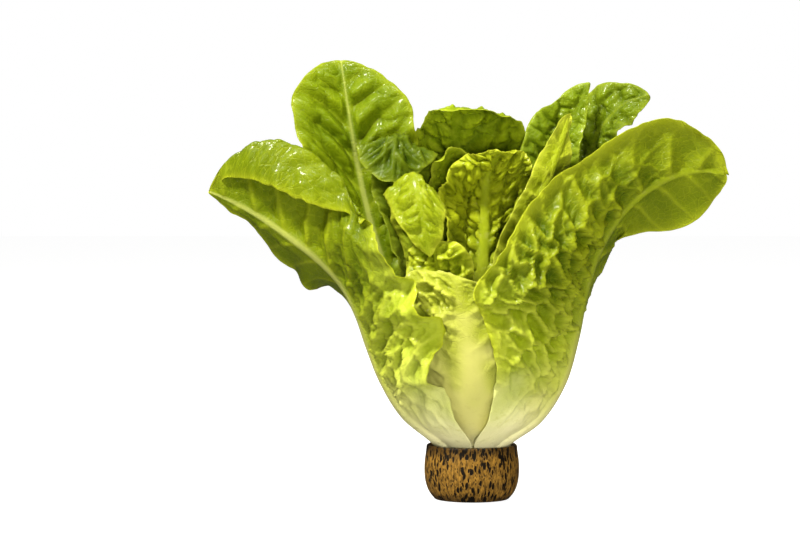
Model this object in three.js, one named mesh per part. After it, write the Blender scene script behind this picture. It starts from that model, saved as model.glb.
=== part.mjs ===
import * as THREE from "three";

// Romaine lettuce head standing in the hollow of a small turned palm-wood cup.
// Millimetres, +Z up. The front of the head faces -Y, and the origin is the middle of the cup's foot.

// Driving dimensions of the cup and of the stem that stands in it
const CUP_HEIGHT = 36;
const FOOT_RADIUS = 24;
const BELLY_RADIUS = 31;
const HOLLOW_RADIUS = 26.4;
const HOLLOW_FLOOR = 7;
const BUTT_RADIUS = 15;
const STEM_TOP = 67;
const STAND_GAP = 0.3;
const TURNED_SIDES = 48;

// Driving dimensions of every leaf, where the leaf's own entry says nothing else
const BLADE_THICKNESS = 0.8;
const RIB_DEPTH = 3.5;
const RIB_HALF_WIDTH = 10;
const RIB_LEFT_AT_TIP = 0.4;
const RIB_WIDTH_AT_TIP = 1.2;
const LEAF_ROWS = 16;
const ROWS_CROWDED_TO_TIP = 0.06;
const ACROSS = [-1, -0.86, -0.66, -0.44, -0.24, -0.1, 0, 0.1, 0.24, 0.44, 0.66, 0.86, 1];
const MIDDLE = (ACROSS.length - 1) / 2;

// The wave of a margin: a long wave and a smaller, shorter ripple on it, both growing towards the margin
const MARGIN_WAVE_SHIFT = 0.37;
const MARGIN_WAVE_POWER = 2.2;
const RIPPLE_HEIGHT = 0.45;
const RIPPLE_PACE = 1.73;
const RIPPLE_SHIFT = 1.3;
const WAVE_STARTS_BY = 0.2;
const WAVE_ENDS_OVER = 0.12;

// How the rib's depth and width fall from the foot to the tip
const RIB_DEPTH_POWER = 1.3;
const RIB_WIDTH_POWER = 1.1;

// Small steps along and across the sheet that give its direction
const STEP_ALONG = 0.002;
const STEP_ACROSS = 0.02;
const LAST_ROW_FOR_DIRECTION = 0.985;

const DEGREE = Math.PI / 180;

// A point by its bearing in degrees (0 is +X, 90 is the back), its radius and its height.
function ring(bearing, radius, height) {
  return [radius * Math.cos(bearing * DEGREE), radius * Math.sin(bearing * DEGREE), height];
}

// The leaves. Each is held by lines of evenly numbered points from its foot to its tip: the rib, the
// margin a on the counterclockwise side seen from above, and the margin b on the other side. aMid and bMid
// move the middle of a half blade at a numbered point, where the blade folds over. waves and phase place
// the waves of the margins, ruffle is their height along the leaf, and a high tip makes a blunt end.
const LEAVES = {
  outer_right: {
    rib: [
      [13, -3, 22], [21.8, -5, 38], [43, -9, 54], [58, -13, 78], [66, -16, 106], [71, -18, 131],
      [79, -20, 159], [92, -22, 182], [108, -23, 199], [127, -22, 210], [146, -20, 214],
      [163, -18, 212],
    ],
    b: [
      ring(-72, 12, 22), [1, -24, 38], [10, -43, 57], [15, -57, 86], [10, -65, 108], [4, -70, 126],
      [-3, -73, 138], [19, -67, 167], [45, -50, 204], [81, -38, 230], [117, -30, 252],
      [158, -24, 248],
    ],
    a: [
      ring(40, 13, 22), ring(62, 24, 38), ring(62, 43, 54), ring(60, 60, 78), ring(52, 72, 106),
      ring(45, 80, 131), [78, 40, 153], [93, 14, 171], [110, -6, 173], [131, -6, 176],
      [151, -7, 186], [168, -12, 200],
    ],
    aMid: {
      6: [88, 8, 155], 7: [96, -3, 175],
    },
    waves: 5,
    phase: 0.1,
    tip: 18,
    ruffle: [0, 0, 1, 2, 3, 3, 3, 3, 2, 2, 2, 1],
  },
  outer_left: {
    rib: [
      [-13, -3, 22], [-21.8, -5, 38], [-43, -10, 56], [-57, -13, 78], [-66, -15, 100],
      [-74, -17, 122], [-84, -18, 141], [-99, -18, 157], [-117, -17, 171], [-136, -16, 184],
      [-154, -15, 194], [-170, -14, 201],
    ],
    a: [
      ring(252, 12, 22), [-1, -24, 38], [-14, -44, 58], [-28, -58, 88], [-24, -68, 114],
      [-37, -69, 133], [-49, -66, 153], [-63, -60, 174], [-76, -50, 188], [-100, -44, 193],
      [-127, -38, 206], [-156, -26, 219],
    ],
    aMid: {
      7: [-84, -46, 178], 8: [-86, -36, 206], 9: [-108, -30, 228], 10: [-133, -26, 236],
      11: [-160, -22, 231],
    },
    b: [
      ring(140, 13, 22), ring(120, 24, 38), ring(118, 43, 56), ring(120, 58, 78),
      ring(126, 68, 100), ring(132, 76, 122), [-92, 36, 136], [-106, 22, 138], [-119, 12, 150],
      [-135, 5, 170], [-150, -2, 184], [-166, -8, 194],
    ],
    waves: 6.5,
    phase: 0.6,
    tip: 22,
    ruffleA: [0, 0, 2, 6, 7, 7, 6, 4, 2, 1, 1, 1],
    ruffleB: [0, 0, 1, 2, 3, 3, 2, 2, 2, 1, 1, 1],
  },
  front: {
    rib: [
      [0, -10.5, 31], [0, -16, 39], [0, -33, 54], [0, -48, 76], [-3, -57, 100], [-6, -61, 120],
      [-10, -62, 136], [-15, -61, 150],
    ],
    a: [
      ring(-56, 10.5, 31), ring(-58, 16, 39), ring(-52, 33, 56), ring(-54, 48, 80),
      ring(-58, 58, 104), ring(-62, 61, 123), ring(-69, 63, 137), [4, -61, 143],
    ],
    b: [
      ring(-124, 10.5, 31), ring(-122, 16, 39), ring(-129, 33, 56), ring(-133, 47, 80),
      ring(-132, 56, 104), [-40, -45, 124], [-45, -47, 142], [-47, -49, 157],
    ],
    waves: 5,
    phase: 0.2,
    tip: 24,
    ribWide: 16,
    ruffle: [0, 0, 0, 1, 2, 4, 5, 6],
  },
  back: {
    rib: [
      [0, 12, 28], [0, 17.5, 38], [0, 35, 54], [0, 50, 76], [2, 60, 104], [4, 68, 132],
      [6, 77, 160], [8, 89, 184], [10, 106, 202], [12, 126, 212],
    ],
    a: [
      ring(126, 12, 28), ring(120, 17.5, 38), ring(120, 35, 56), ring(120, 51, 82),
      ring(118, 62, 112), [-30, 64, 142], [-30, 73, 172], [-28, 86, 198], [-22, 102, 216],
      [-8, 123, 224],
    ],
    b: [
      ring(54, 12, 28), ring(60, 17.5, 38), ring(60, 35, 56), ring(60, 51, 82), ring(61, 62, 112),
      [33, 64, 142], [37, 73, 172], [39, 86, 198], [38, 102, 216], [30, 123, 224],
    ],
    waves: 5,
    phase: 0.8,
    tip: 8,
    ruffle: [0, 0, 1, 3, 4, 5, 5, 4, 3, 2],
  },
  back_left: {
    rib: [
      ring(150, 11, 31), ring(150, 16.5, 39), ring(148, 33, 56), ring(146, 49, 80),
      ring(143, 62, 108), ring(139, 73, 136), [-57, 58, 164], [-62, 70, 190], [-70, 84, 212],
      [-80, 98, 226],
    ],
    a: [
      ring(171, 11, 31), ring(171, 16.5, 39), ring(171, 33, 56), ring(169, 49, 82),
      ring(164, 63, 112), ring(152, 77, 142), [-80, 44, 172], [-90, 58, 198], [-96, 76, 216],
      [-96, 94, 228],
    ],
    b: [
      ring(130, 11, 31), ring(130, 16.5, 39), ring(128, 33, 56), ring(127, 50, 82),
      ring(126, 63, 112), ring(124, 74, 142), [-38, 68, 170], [-40, 82, 196], [-48, 96, 216],
      [-62, 106, 228],
    ],
    waves: 5,
    phase: 0.4,
    tip: 8,
    ruffle: [0, 0, 0, 2, 3, 4, 4, 4, 3, 2],
  },
  back_right: {
    rib: [
      ring(32, 11, 31), ring(32, 16.5, 39), ring(34, 33, 56), ring(36, 49, 80), ring(39, 62, 108),
      ring(42, 73, 136), [62, 60, 164], [68, 72, 190], [76, 84, 212], [86, 96, 226],
    ],
    a: [
      ring(50, 11, 31), ring(50, 16.5, 39), ring(50, 33, 56), ring(53, 50, 82), ring(54, 63, 112),
      ring(56, 74, 142), [45, 70, 170], [49, 84, 196], [57, 98, 216], [70, 106, 228],
    ],
    b: [
      ring(11, 11, 31), ring(11, 16.5, 39), ring(11, 33, 56), ring(13, 49, 82), ring(19, 63, 112),
      ring(28, 73, 142), [80, 44, 172], [92, 56, 198], [98, 72, 216], [102, 90, 228],
    ],
    waves: 5,
    phase: 0.95,
    tip: 8,
    ruffle: [0, 0, 0, 2, 3, 4, 4, 4, 3, 2],
  },
  upper_left: {
    rib: [
      ring(135, 9.5, 40), ring(135, 14.5, 49), ring(136, 30, 62), [-34, 30, 86], [-45, 35, 112],
      [-54, 37, 138], [-62, 38, 164], [-69, 37, 190], [-75, 36, 218], [-80, 36, 248],
      [-84, 38, 274], [-86, 42, 287],
    ],
    a: [
      ring(176, 9.5, 40), ring(178, 14.5, 49), ring(178, 31, 64), ring(172, 46, 92), [-64, 8, 122],
      [-78, 11, 152], [-92, 14, 182], [-105, 17, 210], [-114, 22, 236], [-119, 26, 258],
      [-116, 31, 277], [-106, 38, 290],
    ],
    b: [
      ring(98, 9.5, 40), ring(98, 14.5, 49), ring(100, 31, 64), ring(106, 43, 92), [-22, 44, 120],
      [-29, 43, 148], [-34, 38, 176], [-35, 32, 204], [-35, 27, 232], [-38, 26, 256],
      [-50, 30, 275], [-66, 38, 290],
    ],
    waves: 5,
    phase: 0.3,
    tip: 12,
    ruffle: [0, 0, 1, 2, 3, 4, 4, 4, 3, 2, 2, 1],
  },
  right_back: {
    rib: [
      ring(28, 9.5, 40), ring(28, 14.5, 49), ring(28, 30, 62), [41, 20, 88], [52, 24, 116],
      [60, 26, 144], [67, 28, 172], [73, 32, 198], [78, 36, 222], [87, 36, 243], [101, 31, 258],
      [117, 26, 264],
    ],
    a: [
      ring(66, 9.5, 40), ring(68, 14.5, 49), ring(68, 31, 66), [22, 40, 94], [32, 46, 124],
      [42, 50, 154], [50, 52, 182], [58, 52, 208], [63, 51, 234], [71, 47, 259], [87, 39, 275],
      [108, 31, 279],
    ],
    b: [
      ring(-12, 9.5, 40), ring(-10, 14.5, 49), ring(-6, 31, 66), [50, -2, 92], [60, 0, 120],
      [67, 2, 148], [77, 4, 172], [86, 10, 196], [91, 18, 216], [97, 22, 235], [108, 22, 247],
      [121, 22, 256],
    ],
    waves: 6,
    phase: 0.15,
    tip: 12,
    ruffle: [0, 0, 1, 2, 3, 3, 3, 3, 3, 3, 2, 2],
  },
  back_dome: {
    rib: [
      ring(97, 8.5, 53), [-2, 14, 60], [-4, 25, 78], [-6, 33, 106], [-8, 39, 134], [-9, 43, 164],
      [-10, 46, 192], [-10, 45, 218], [-10, 38, 240], [-9, 25, 254], [-8, 12, 254],
    ],
    a: [
      ring(126, 8.5, 53), [-8, 12, 60], [-15, 20, 80], [-19, 28, 108], [-23, 34, 138],
      [-28, 40, 168], [-34, 43, 196], [-38, 42, 222], [-36, 34, 242], [-28, 18, 252],
      [-18, 8, 250],
    ],
    b: [
      ring(68, 8.5, 53), [5, 13, 60], [12, 22, 80], [18, 30, 108], [22, 36, 138], [28, 41, 168],
      [34, 42, 192], [38, 39, 212], [38, 30, 236], [26, 16, 252], [10, 8, 252],
    ],
    waves: 5,
    phase: 0.7,
    tip: 14,
    ruffle: [0, 0, 1, 2, 3, 4, 4, 3, 3, 2, 2],
  },
  right_peak: {
    rib: [
      ring(42, 8.5, 51), ring(44, 12, 58), [15, 15, 78], [24, 22, 106], [33, 28, 136],
      [41, 30, 166], [49, 30, 194], [57, 29, 220], [65, 28, 244], [73, 27, 263], [78, 27, 272],
    ],
    a: [
      ring(62, 8.5, 51), ring(62, 11.5, 58), [7, 16, 80], [12, 22, 110], [18, 27, 142],
      [24, 30, 174], [30, 31, 204], [33, 26, 229], [39, 24, 250], [58, 26, 265], [73, 27, 274],
    ],
    b: [
      ring(20, 8.5, 51), ring(20, 12, 58), [20, 8, 80], [31, 12, 108], [42, 14, 138],
      [52, 16, 168], [62, 17, 196], [70, 18, 220], [74, 20, 240], [78, 23, 256], [80, 25, 268],
    ],
    waves: 5,
    phase: 0.45,
    tip: 8,
    ribWide: 7,
    ribDepth: 2.5,
    ruffle: [0, 0, 1, 2, 3, 3, 3, 3, 2, 1, 1],
  },
  folded_left: {
    rib: [
      ring(160, 8.5, 51), ring(160, 13, 58), [-20, 9, 78], [-29, 12, 106], [-36, 15, 136],
      [-42, 17, 166], [-46, 16, 194], [-48, 12, 219], [-49, 1, 236], [-50, -13, 233],
      [-52, -22, 207],
    ],
    a: [
      ring(184, 8.5, 51), ring(185, 13, 58), [-22, 0, 80], [-33, 1, 108], [-43, 3, 138],
      [-53, 5, 168], [-61, 6, 196], [-68, 4, 216], [-73, -3, 227], [-75, -13, 222],
      [-70, -19, 204],
    ],
    b: [
      ring(134, 8.5, 51), ring(134, 12, 58), [-14, 15, 80], [-20, 19, 108], [-24, 22, 138],
      [-27, 23, 168], [-27, 20, 196], [-26, 14, 214], [-24, 3, 223], [-25, -9, 218],
      [-32, -17, 205],
    ],
    waves: 5,
    phase: 0.35,
    tip: 20,
    ribWide: 7,
    ribDepth: 2.5,
    ruffle: [0, 0, 1, 2, 2, 2, 2, 2, 2, 2, 2],
  },
  nodding_left: {
    rib: [
      ring(212, 8.5, 48), ring(212, 12.5, 60), [-17, -10, 80], [-25, -14, 108], [-31, -17, 138],
      [-35, -20, 166], [-38, -24, 190], [-39, -30, 207], [-38, -42, 213], [-35, -52, 198],
      [-31, -55, 177], [-28, -54, 160],
    ],
    a: [
      ring(234, 8.5, 48), ring(236, 12, 60), [-9, -17, 82], [-13, -24, 110], [-16, -28, 140],
      [-18, -31, 168], [-19, -34, 188], [-21, -39, 197], [-19, -48, 197], [-17, -54, 186],
      [-17, -56, 173], [-21, -54, 161],
    ],
    b: [
      ring(192, 8.5, 48), ring(192, 13, 60), [-21, -5, 82], [-31, -6, 110], [-40, -8, 140],
      [-47, -11, 166], [-51, -15, 186], [-57, -22, 196], [-58, -35, 198], [-55, -47, 190],
      [-50, -53, 177], [-40, -54, 164],
    ],
    waves: 4,
    phase: 0.5,
    tip: 10,
    ribWide: 7,
    ribDepth: 2.5,
    ruffle: [0, 0, 1, 2, 2, 2, 2, 1, 1, 1, 1, 1],
  },
  inner_right: {
    rib: [
      ring(-32, 8.5, 48), ring(-34, 12.5, 60), [14, -12, 80], [19, -20, 104], [25, -27, 132],
      [31, -31, 156], [38, -30, 178], [46, -24, 200], [54, -16, 222], [60, -8, 240], [63, -2, 250],
    ],
    a: [
      ring(10, 8.5, 48), ring(6, 12.5, 60), [21, -2, 82], [33, -4, 108], [44, -6, 136],
      [53, -8, 160], [58, -10, 180], [60, -10, 202], [62, -8, 222], [64, -4, 240], [65, -1, 252],
    ],
    b: [
      ring(-64, 8.5, 48), ring(-66, 12.5, 60), [6, -18, 82], [7, -28, 106], [9, -36, 132],
      [12, -40, 154], [17, -39, 175], [29, -32, 199], [41, -22, 222], [51, -11, 241],
      [60, -3, 254],
    ],
    waves: 4,
    phase: 0.15,
    tip: 8,
    ribWide: 7,
    ribDepth: 2.5,
    ruffle: [0, 0, 1, 2, 2, 2, 2, 1, 1, 1, 1],
  },
  centre: {
    rib: [
      [2, 2, 68], [3, 3, 80], [4, 5, 96], [6, 5, 120], [7, 6, 148], [8, 6, 172], [8, 4, 194],
      [10, -1, 212], [15, -9, 222], [19, -17, 226],
    ],
    a: [
      [-2, 2, 68], [-4, 3, 82], [-7, 3, 100], [-11, 1, 126], [-15, 0, 156], [-18, -2, 182],
      [-20, -5, 203], [-14, -10, 218], [-2, -15, 226], [12, -19, 230],
    ],
    b: [
      [5, 1, 68], [9, 2, 82], [14, 3, 100], [21, 2, 126], [27, 1, 156], [33, -1, 182],
      [38, -5, 203], [41, -9, 216], [37, -14, 225], [28, -19, 229],
    ],
    waves: 5,
    phase: 0.25,
    tip: 12,
    ribWide: 6,
    ribDepth: 3,
    ruffle: [0, 0, 1, 2, 2, 3, 3, 2, 2, 1],
  },
  inner_front: {
    rib: [
      ring(-94, 8.5, 50), ring(-98, 13, 62), [-7, -24, 80], [-15, -37, 104], [-20, -43, 132],
      [-23, -46, 154], [-25, -48, 170],
    ],
    a: [
      ring(-72, 8.5, 50), ring(-74, 13, 62), [3, -25, 80], [6, -38, 106], [4, -45, 134],
      [0, -49, 156], [-6, -50, 170],
    ],
    b: [
      ring(-118, 8.5, 50), ring(-118, 13, 62), [-16, -21, 80], [-26, -29, 106], [-36, -33, 134],
      [-42, -36, 156], [-45, -41, 172],
    ],
    waves: 4,
    phase: 0.75,
    tip: 14,
    ribWide: 7,
    ribDepth: 2.5,
    ruffle: [0, 0, 2, 3, 4, 5, 5],
  },
  inner_back: {
    rib: [
      [4.5, 6, 62], [8, 9, 76], [15, 13, 96], [20, 15, 122], [24, 16, 150], [27, 16, 176],
      [29, 14, 198], [30, 9, 214], [30, 2, 221],
    ],
    a: [
      [2.5, 7, 62], [5, 10, 76], [9, 15, 98], [12, 18, 124], [15, 20, 152], [17, 20, 178],
      [18, 17, 200], [19, 11, 214], [22, 4, 220],
    ],
    b: [
      [7, 4.5, 62], [12, 7, 76], [20, 9, 98], [27, 10, 124], [33, 10, 152], [37, 9, 178],
      [40, 7, 198], [41, 3, 212], [38, -2, 218],
    ],
    waves: 5,
    phase: 0.55,
    tip: 14,
    ribWide: 5,
    ribDepth: 1.6,
    ruffle: [0, 0, 1, 2, 3, 3, 3, 3, 2],
  },
  inner_left: {
    rib: [
      [-3, 7.5, 60], [-5, 10, 74], [-7, 13, 94], [-10, 16, 120], [-13, 18, 150], [-15, 19, 178],
      [-16, 18, 202], [-16, 14, 220], [-14, 6, 229],
    ],
    a: [
      [-7, 5.5, 60], [-10, 8, 76], [-15, 9, 96], [-21, 10, 122], [-25, 11, 152], [-29, 12, 180],
      [-30, 10, 200], [-25, 7, 214], [-20, 3, 223],
    ],
    b: [
      [1, 8, 60], [2, 10.5, 76], [2, 13, 96], [3, 16, 122], [3, 18, 152], [2, 19, 180],
      [1, 17, 204], [0, 12, 220], [-4, 5, 228],
    ],
    waves: 5,
    phase: 0.05,
    tip: 14,
    ribWide: 6,
    ribDepth: 2,
    ruffle: [0, 0, 1, 2, 3, 4, 4, 4, 3],
  },};

const COLOURS = {
  outer: "#8fae2b",
  front: "#c9cf7c",
  upper: "#7fa322",
  inner: "#a3bd38",
  back: "#76992a",
  stem: "#e6e4b4",
  cup: "#8a5a26",
};

const LEAF_COLOURS = {
  outer_right: COLOURS.outer,
  outer_left: COLOURS.outer,
  front: COLOURS.front,
  back: COLOURS.back,
  back_left: COLOURS.back,
  back_right: COLOURS.back,
  back_dome: COLOURS.back,
  upper_left: COLOURS.upper,
  right_back: COLOURS.upper,
  right_peak: COLOURS.upper,
};

// Catmull-Rom value of a list of numbers or points at t, with the list spread evenly over 0 to 1.
function along(list, t) {
  const last = list.length - 1;
  const place = Math.min(Math.max(t, 0), 1) * last;
  const i = Math.min(Math.floor(place), last - 1);
  const f = place - i;
  const blend = (p0, p1, p2, p3) => {
    const slope = p2 - p0;
    const bend = 2 * p0 - 5 * p1 + 4 * p2 - p3;
    const twist = 3 * p1 - p0 - 3 * p2 + p3;
    return 0.5 * (2 * p1 + slope * f + bend * f ** 2 + twist * f ** 3);
  };
  const pick = (get) => {
    const p1 = get(list[i]);
    const p2 = get(list[i + 1]);
    const p0 = i > 0 ? get(list[i - 1]) : 2 * p1 - p2;
    const p3 = i + 2 <= last ? get(list[i + 2]) : 2 * p2 - p1;
    return blend(p0, p1, p2, p3);
  };
  if (typeof list[0] === "number") return pick((value) => value);
  return [0, 1, 2].map((axis) => pick((point) => point[axis]));
}

// The point halfway round the axis of the head between two points, so that a blade wraps the head.
function halfwayRound(p, q) {
  const from = Math.atan2(p[1], p[0]);
  let turn = Math.atan2(q[1], q[0]) - from;
  turn -= 2 * Math.PI * Math.round(turn / (2 * Math.PI));
  const radius = (Math.hypot(p[0], p[1]) + Math.hypot(q[0], q[1])) / 2;
  const bearing = from + turn / 2;
  return [radius * Math.cos(bearing), radius * Math.sin(bearing), (p[2] + q[2]) / 2];
}

// Five lines that hold a leaf: margin b, middle of half b, rib, middle of half a, margin a.
function controlLines(leaf) {
  const middle = (margin, own) => leaf.rib.map((p, i) => own?.[i] ?? halfwayRound(p, margin[i]));
  return [leaf.b, middle(leaf.b, leaf.bMid), leaf.rib, middle(leaf.a, leaf.aMid), leaf.a];
}

// A point of the smooth sheet at t along the rib and u across, -1 at margin b and 1 at margin a.
function sheetPoint(leaf, lines, t, u) {
  const section = lines.map((line) => along(line, t));
  const edge = along(section, (u + 1) / 2);
  const rib = section[2];
  const end = Math.sqrt(Math.max(1 - t ** leaf.tip, 0));
  return rib.map((value, axis) => value + (edge[axis] - value) * end);
}

function cross(a, b) {
  return [a[1] * b[2] - a[2] * b[1], a[2] * b[0] - a[0] * b[2], a[0] * b[1] - a[1] * b[0]];
}

function minus(a, b) {
  return [a[0] - b[0], a[1] - b[1], a[2] - b[2]];
}

function dot(a, b) {
  return a[0] * b[0] + a[1] * b[1] + a[2] * b[2];
}

function unit(a) {
  const length = Math.max(Math.hypot(...a), 1e-12);
  return a.map((value) => value / length);
}

function moved(point, direction, distance) {
  return point.map((value, axis) => value + direction[axis] * distance);
}

// The direction of the leaf's inner face at t and u.
function sheetNormal(leaf, lines, t, u) {
  const low = Math.min(Math.max(t - STEP_ALONG, 0), 0.995);
  const high = Math.min(Math.max(t + STEP_ALONG, 0.004), 0.999);
  const lengthwise = minus(sheetPoint(leaf, lines, high, u), sheetPoint(leaf, lines, low, u));
  const row = Math.min(t, LAST_ROW_FOR_DIRECTION);
  const left = Math.max(u - STEP_ACROSS, -1);
  const right = Math.min(u + STEP_ACROSS, 1);
  const crosswise = minus(sheetPoint(leaf, lines, row, right), sheetPoint(leaf, lines, row, left));
  return unit(cross(lengthwise, crosswise));
}

// How far the wave of the margin lifts the sheet at t and u.
function marginWave(leaf, t, u) {
  const heights = (u > 0 ? leaf.ruffleA : leaf.ruffleB) ?? leaf.ruffle;
  const angle = 2 * Math.PI * (leaf.waves * t + leaf.phase + (u > 0 ? MARGIN_WAVE_SHIFT : 0));
  const wave = Math.sin(angle) + RIPPLE_HEIGHT * Math.sin(RIPPLE_PACE * angle + RIPPLE_SHIFT);
  const grows = Math.min(t / WAVE_STARTS_BY, 1) ** 2;
  const fades = Math.sqrt(Math.min((1 - t) / WAVE_ENDS_OVER, 1));
  return along(heights, t) * wave * grows * fades * Math.abs(u) ** MARGIN_WAVE_POWER;
}

// Directions of the inner face on a grid of points, from the neighbours of each point.
function gridNormals(grid, fallback) {
  const rows = grid.length;
  return grid.map((row, r) =>
    row.map((_, c) => {
      const lengthwise = minus(grid[Math.min(r + 1, rows - 1)][c], grid[Math.max(r - 1, 0)][c]);
      const crosswise = minus(row[Math.min(c + 1, row.length - 1)], row[Math.max(c - 1, 0)]);
      const normal = unit(cross(lengthwise, crosswise));
      return dot(normal, fallback[r][c]) < 0 ? fallback[r][c] : normal;
    }),
  );
}

// Depth of the rib under the sheet at t, at a distance from the rib's own line.
function ribRise(leaf, t, distance) {
  const depth = (leaf.ribDepth ?? RIB_DEPTH) * (1 - t) ** RIB_DEPTH_POWER + RIB_LEFT_AT_TIP;
  const halfWidth = (leaf.ribWide ?? RIB_HALF_WIDTH) * (1 - t) ** RIB_WIDTH_POWER + RIB_WIDTH_AT_TIP;
  return depth * Math.sqrt(Math.max(1 - (distance / halfWidth) ** 2, 0));
}

// Distance of every point of a row from the rib, measured over the row.
function distancesFromRib(row) {
  const lengths = row.map((p, c) => (c === 0 ? 0 : Math.hypot(...minus(p, row[c - 1]))));
  let sum = 0;
  const run = lengths.map((length) => (sum += length));
  return run.map((length) => Math.abs(length - run[MIDDLE]));
}

// A closed leaf: the waved sheet as its inner face, the sheet and its rib as its outer face, and a rim
// that joins them. The cells are split alike on both faces, and as mirror images on the two halves.
function leafGeometry(leaf) {
  const lines = controlLines(leaf);
  const rows = leaf.rows ?? LEAF_ROWS;
  const columns = ACROSS.length;
  const times = Array.from({ length: rows }, (_, r) => {
    const k = r / (rows - 1);
    return k + ROWS_CROWDED_TO_TIP * k * Math.sin(Math.PI * k) ** 2;
  });
  const flat = times.map((t) => ACROSS.map((u) => sheetNormal(leaf, lines, t, u)));
  const grid = times.map((t, r) =>
    ACROSS.map((u, c) => moved(sheetPoint(leaf, lines, t, u), flat[r][c], marginWave(leaf, t, u))),
  );
  const normals = gridNormals(grid, flat);
  const inner = [];
  const outer = [];
  for (let r = 0; r < rows - 1; r++) {
    const distances = distancesFromRib(grid[r]);
    for (let c = 0; c < columns; c++) {
      const rise = ribRise(leaf, times[r], distances[c]);
      inner.push(moved(grid[r][c], normals[r][c], BLADE_THICKNESS / 2));
      outer.push(moved(grid[r][c], normals[r][c], -BLADE_THICKNESS / 2 - rise));
    }
  }
  const sum = normals[rows - 2].reduce((a, b) => moved(a, b, 1), [0, 0, 0]);
  const tip = grid[rows - 1][MIDDLE];
  const tipInner = moved(tip, unit(sum), BLADE_THICKNESS / 2);
  const tipOuter = moved(tip, unit(sum), -BLADE_THICKNESS / 2);
  const count = inner.length;
  const points = [...inner, ...outer, tipInner, tipOuter];
  const innerTip = 2 * count;
  const outerTip = innerTip + 1;
  const at = (r, c) => r * columns + c;
  const faces = [];
  for (let r = 0; r < rows - 2; r++) {
    for (let c = 0; c < columns - 1; c++) {
      const [p, q, s, w] = [at(r, c), at(r, c + 1), at(r + 1, c), at(r + 1, c + 1)];
      const halves = c < MIDDLE ? [[p, q, s], [q, w, s]] : [[p, q, w], [p, w, s]];
      for (const [i, j, k] of halves) {
        faces.push([i, k, j], [i + count, j + count, k + count]);
      }
    }
  }
  for (let c = 0; c < columns - 1; c++) {
    const p = at(rows - 2, c);
    faces.push([p, innerTip, p + 1], [p + count, p + 1 + count, outerTip]);
  }
  const rim = [];
  for (let c = 0; c < columns; c++) rim.push([at(0, c), at(0, c) + count]);
  for (let r = 1; r < rows - 1; r++) rim.push([at(r, columns - 1), at(r, columns - 1) + count]);
  rim.push([innerTip, outerTip]);
  for (let r = rows - 2; r > 0; r--) rim.push([at(r, 0), at(r, 0) + count]);
  rim.forEach(([p, below], k) => {
    const [q, belowNext] = rim[(k + 1) % rim.length];
    faces.push([p, q, belowNext], [p, belowNext, below]);
  });
  const geometry = new THREE.BufferGeometry();
  geometry.setAttribute("position", new THREE.Float32BufferAttribute(points.flat(), 3));
  geometry.setIndex(faces.flat());
  geometry.computeVertexNormals();
  return geometry;
}

// The cup: a barrel with a rounded foot and lip, and a hollow with a flat floor.
function cupGeometry() {
  const profile = [
    [0, 0],
    [FOOT_RADIUS, 0],
    [FOOT_RADIUS + 2.4, 1.4],
    [FOOT_RADIUS + 4.2, 5],
    [BELLY_RADIUS - 1, 11],
    [BELLY_RADIUS, 18],
    [BELLY_RADIUS - 0.6, 26],
    [BELLY_RADIUS - 1.8, CUP_HEIGHT - 3],
    [BELLY_RADIUS - 2.4, CUP_HEIGHT - 0.8],
    [BELLY_RADIUS - 3.2, CUP_HEIGHT],
    [HOLLOW_RADIUS + 0.9, CUP_HEIGHT - 0.6],
    [HOLLOW_RADIUS + 0.4, CUP_HEIGHT - 2.6],
    [HOLLOW_RADIUS, 20],
    [HOLLOW_RADIUS - 2.4, 12],
    [HOLLOW_RADIUS - 7, HOLLOW_FLOOR],
    [0, HOLLOW_FLOOR],
  ];
  return new THREE.LatheGeometry(profile.map(([r, z]) => new THREE.Vector2(r, z)), TURNED_SIDES);
}

// The stem: the cut butt on the floor of the cup, and the core that the inner leaves stand round.
function stemGeometry() {
  const foot = HOLLOW_FLOOR + STAND_GAP;
  const profile = [
    [0, foot],
    [BUTT_RADIUS - 2, foot],
    [BUTT_RADIUS, foot + 2.2],
    [BUTT_RADIUS, foot + 9.2],
    [BUTT_RADIUS - 2, 20],
    [10, 21.5],
    [9.6, 28],
    [8.2, 36],
    [7.4, 46],
    [6.4, 54],
    [4.6, 61],
    [2.5, STEM_TOP - 1],
    [0, STEM_TOP],
  ];
  return new THREE.LatheGeometry(profile.map(([r, z]) => new THREE.Vector2(r, z)), TURNED_SIDES);
}

function named(name, geometry, colour, roughness) {
  const material = new THREE.MeshStandardMaterial({ color: colour, roughness, metalness: 0 });
  const mesh = new THREE.Mesh(geometry, material);
  mesh.name = name;
  return mesh;
}

// A turned piece, stood up from the lathe's Y axis to Z.
function turned(name, geometry, colour, roughness) {
  const mesh = named(name, geometry, colour, roughness);
  mesh.rotation.x = Math.PI / 2;
  return mesh;
}

const head = new THREE.Group();
head.add(turned("cup", cupGeometry(), COLOURS.cup, 0.55));
head.add(turned("stem", stemGeometry(), COLOURS.stem, 0.5));
for (const [name, leaf] of Object.entries(LEAVES)) {
  head.add(named(name, leafGeometry(leaf), LEAF_COLOURS[name] ?? COLOURS.inner, 0.4));
}

export default head;
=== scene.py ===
"""Looks of an open romaine lettuce head that stands in a small turned palm-wood cup.

Every leaf is a thin waved sheet through a few given points in the row's millimetres: the rib and the
two margins. Formulas add blisters between creases, bulges between the side veins, small ruffles and teeth
along the margin, rolled and tucked edges, and the rib's thickness on the outer face. The colours follow the
same fields.
"""

import bpy
import numpy as np
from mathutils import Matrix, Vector


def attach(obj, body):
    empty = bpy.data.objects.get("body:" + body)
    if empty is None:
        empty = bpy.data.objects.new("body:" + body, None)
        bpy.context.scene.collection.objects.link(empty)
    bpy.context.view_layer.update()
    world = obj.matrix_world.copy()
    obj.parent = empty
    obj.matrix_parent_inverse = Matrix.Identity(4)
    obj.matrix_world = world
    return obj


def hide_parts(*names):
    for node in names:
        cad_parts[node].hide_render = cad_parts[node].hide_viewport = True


MM = 0.001
DEGREE = np.pi / 180

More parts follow.
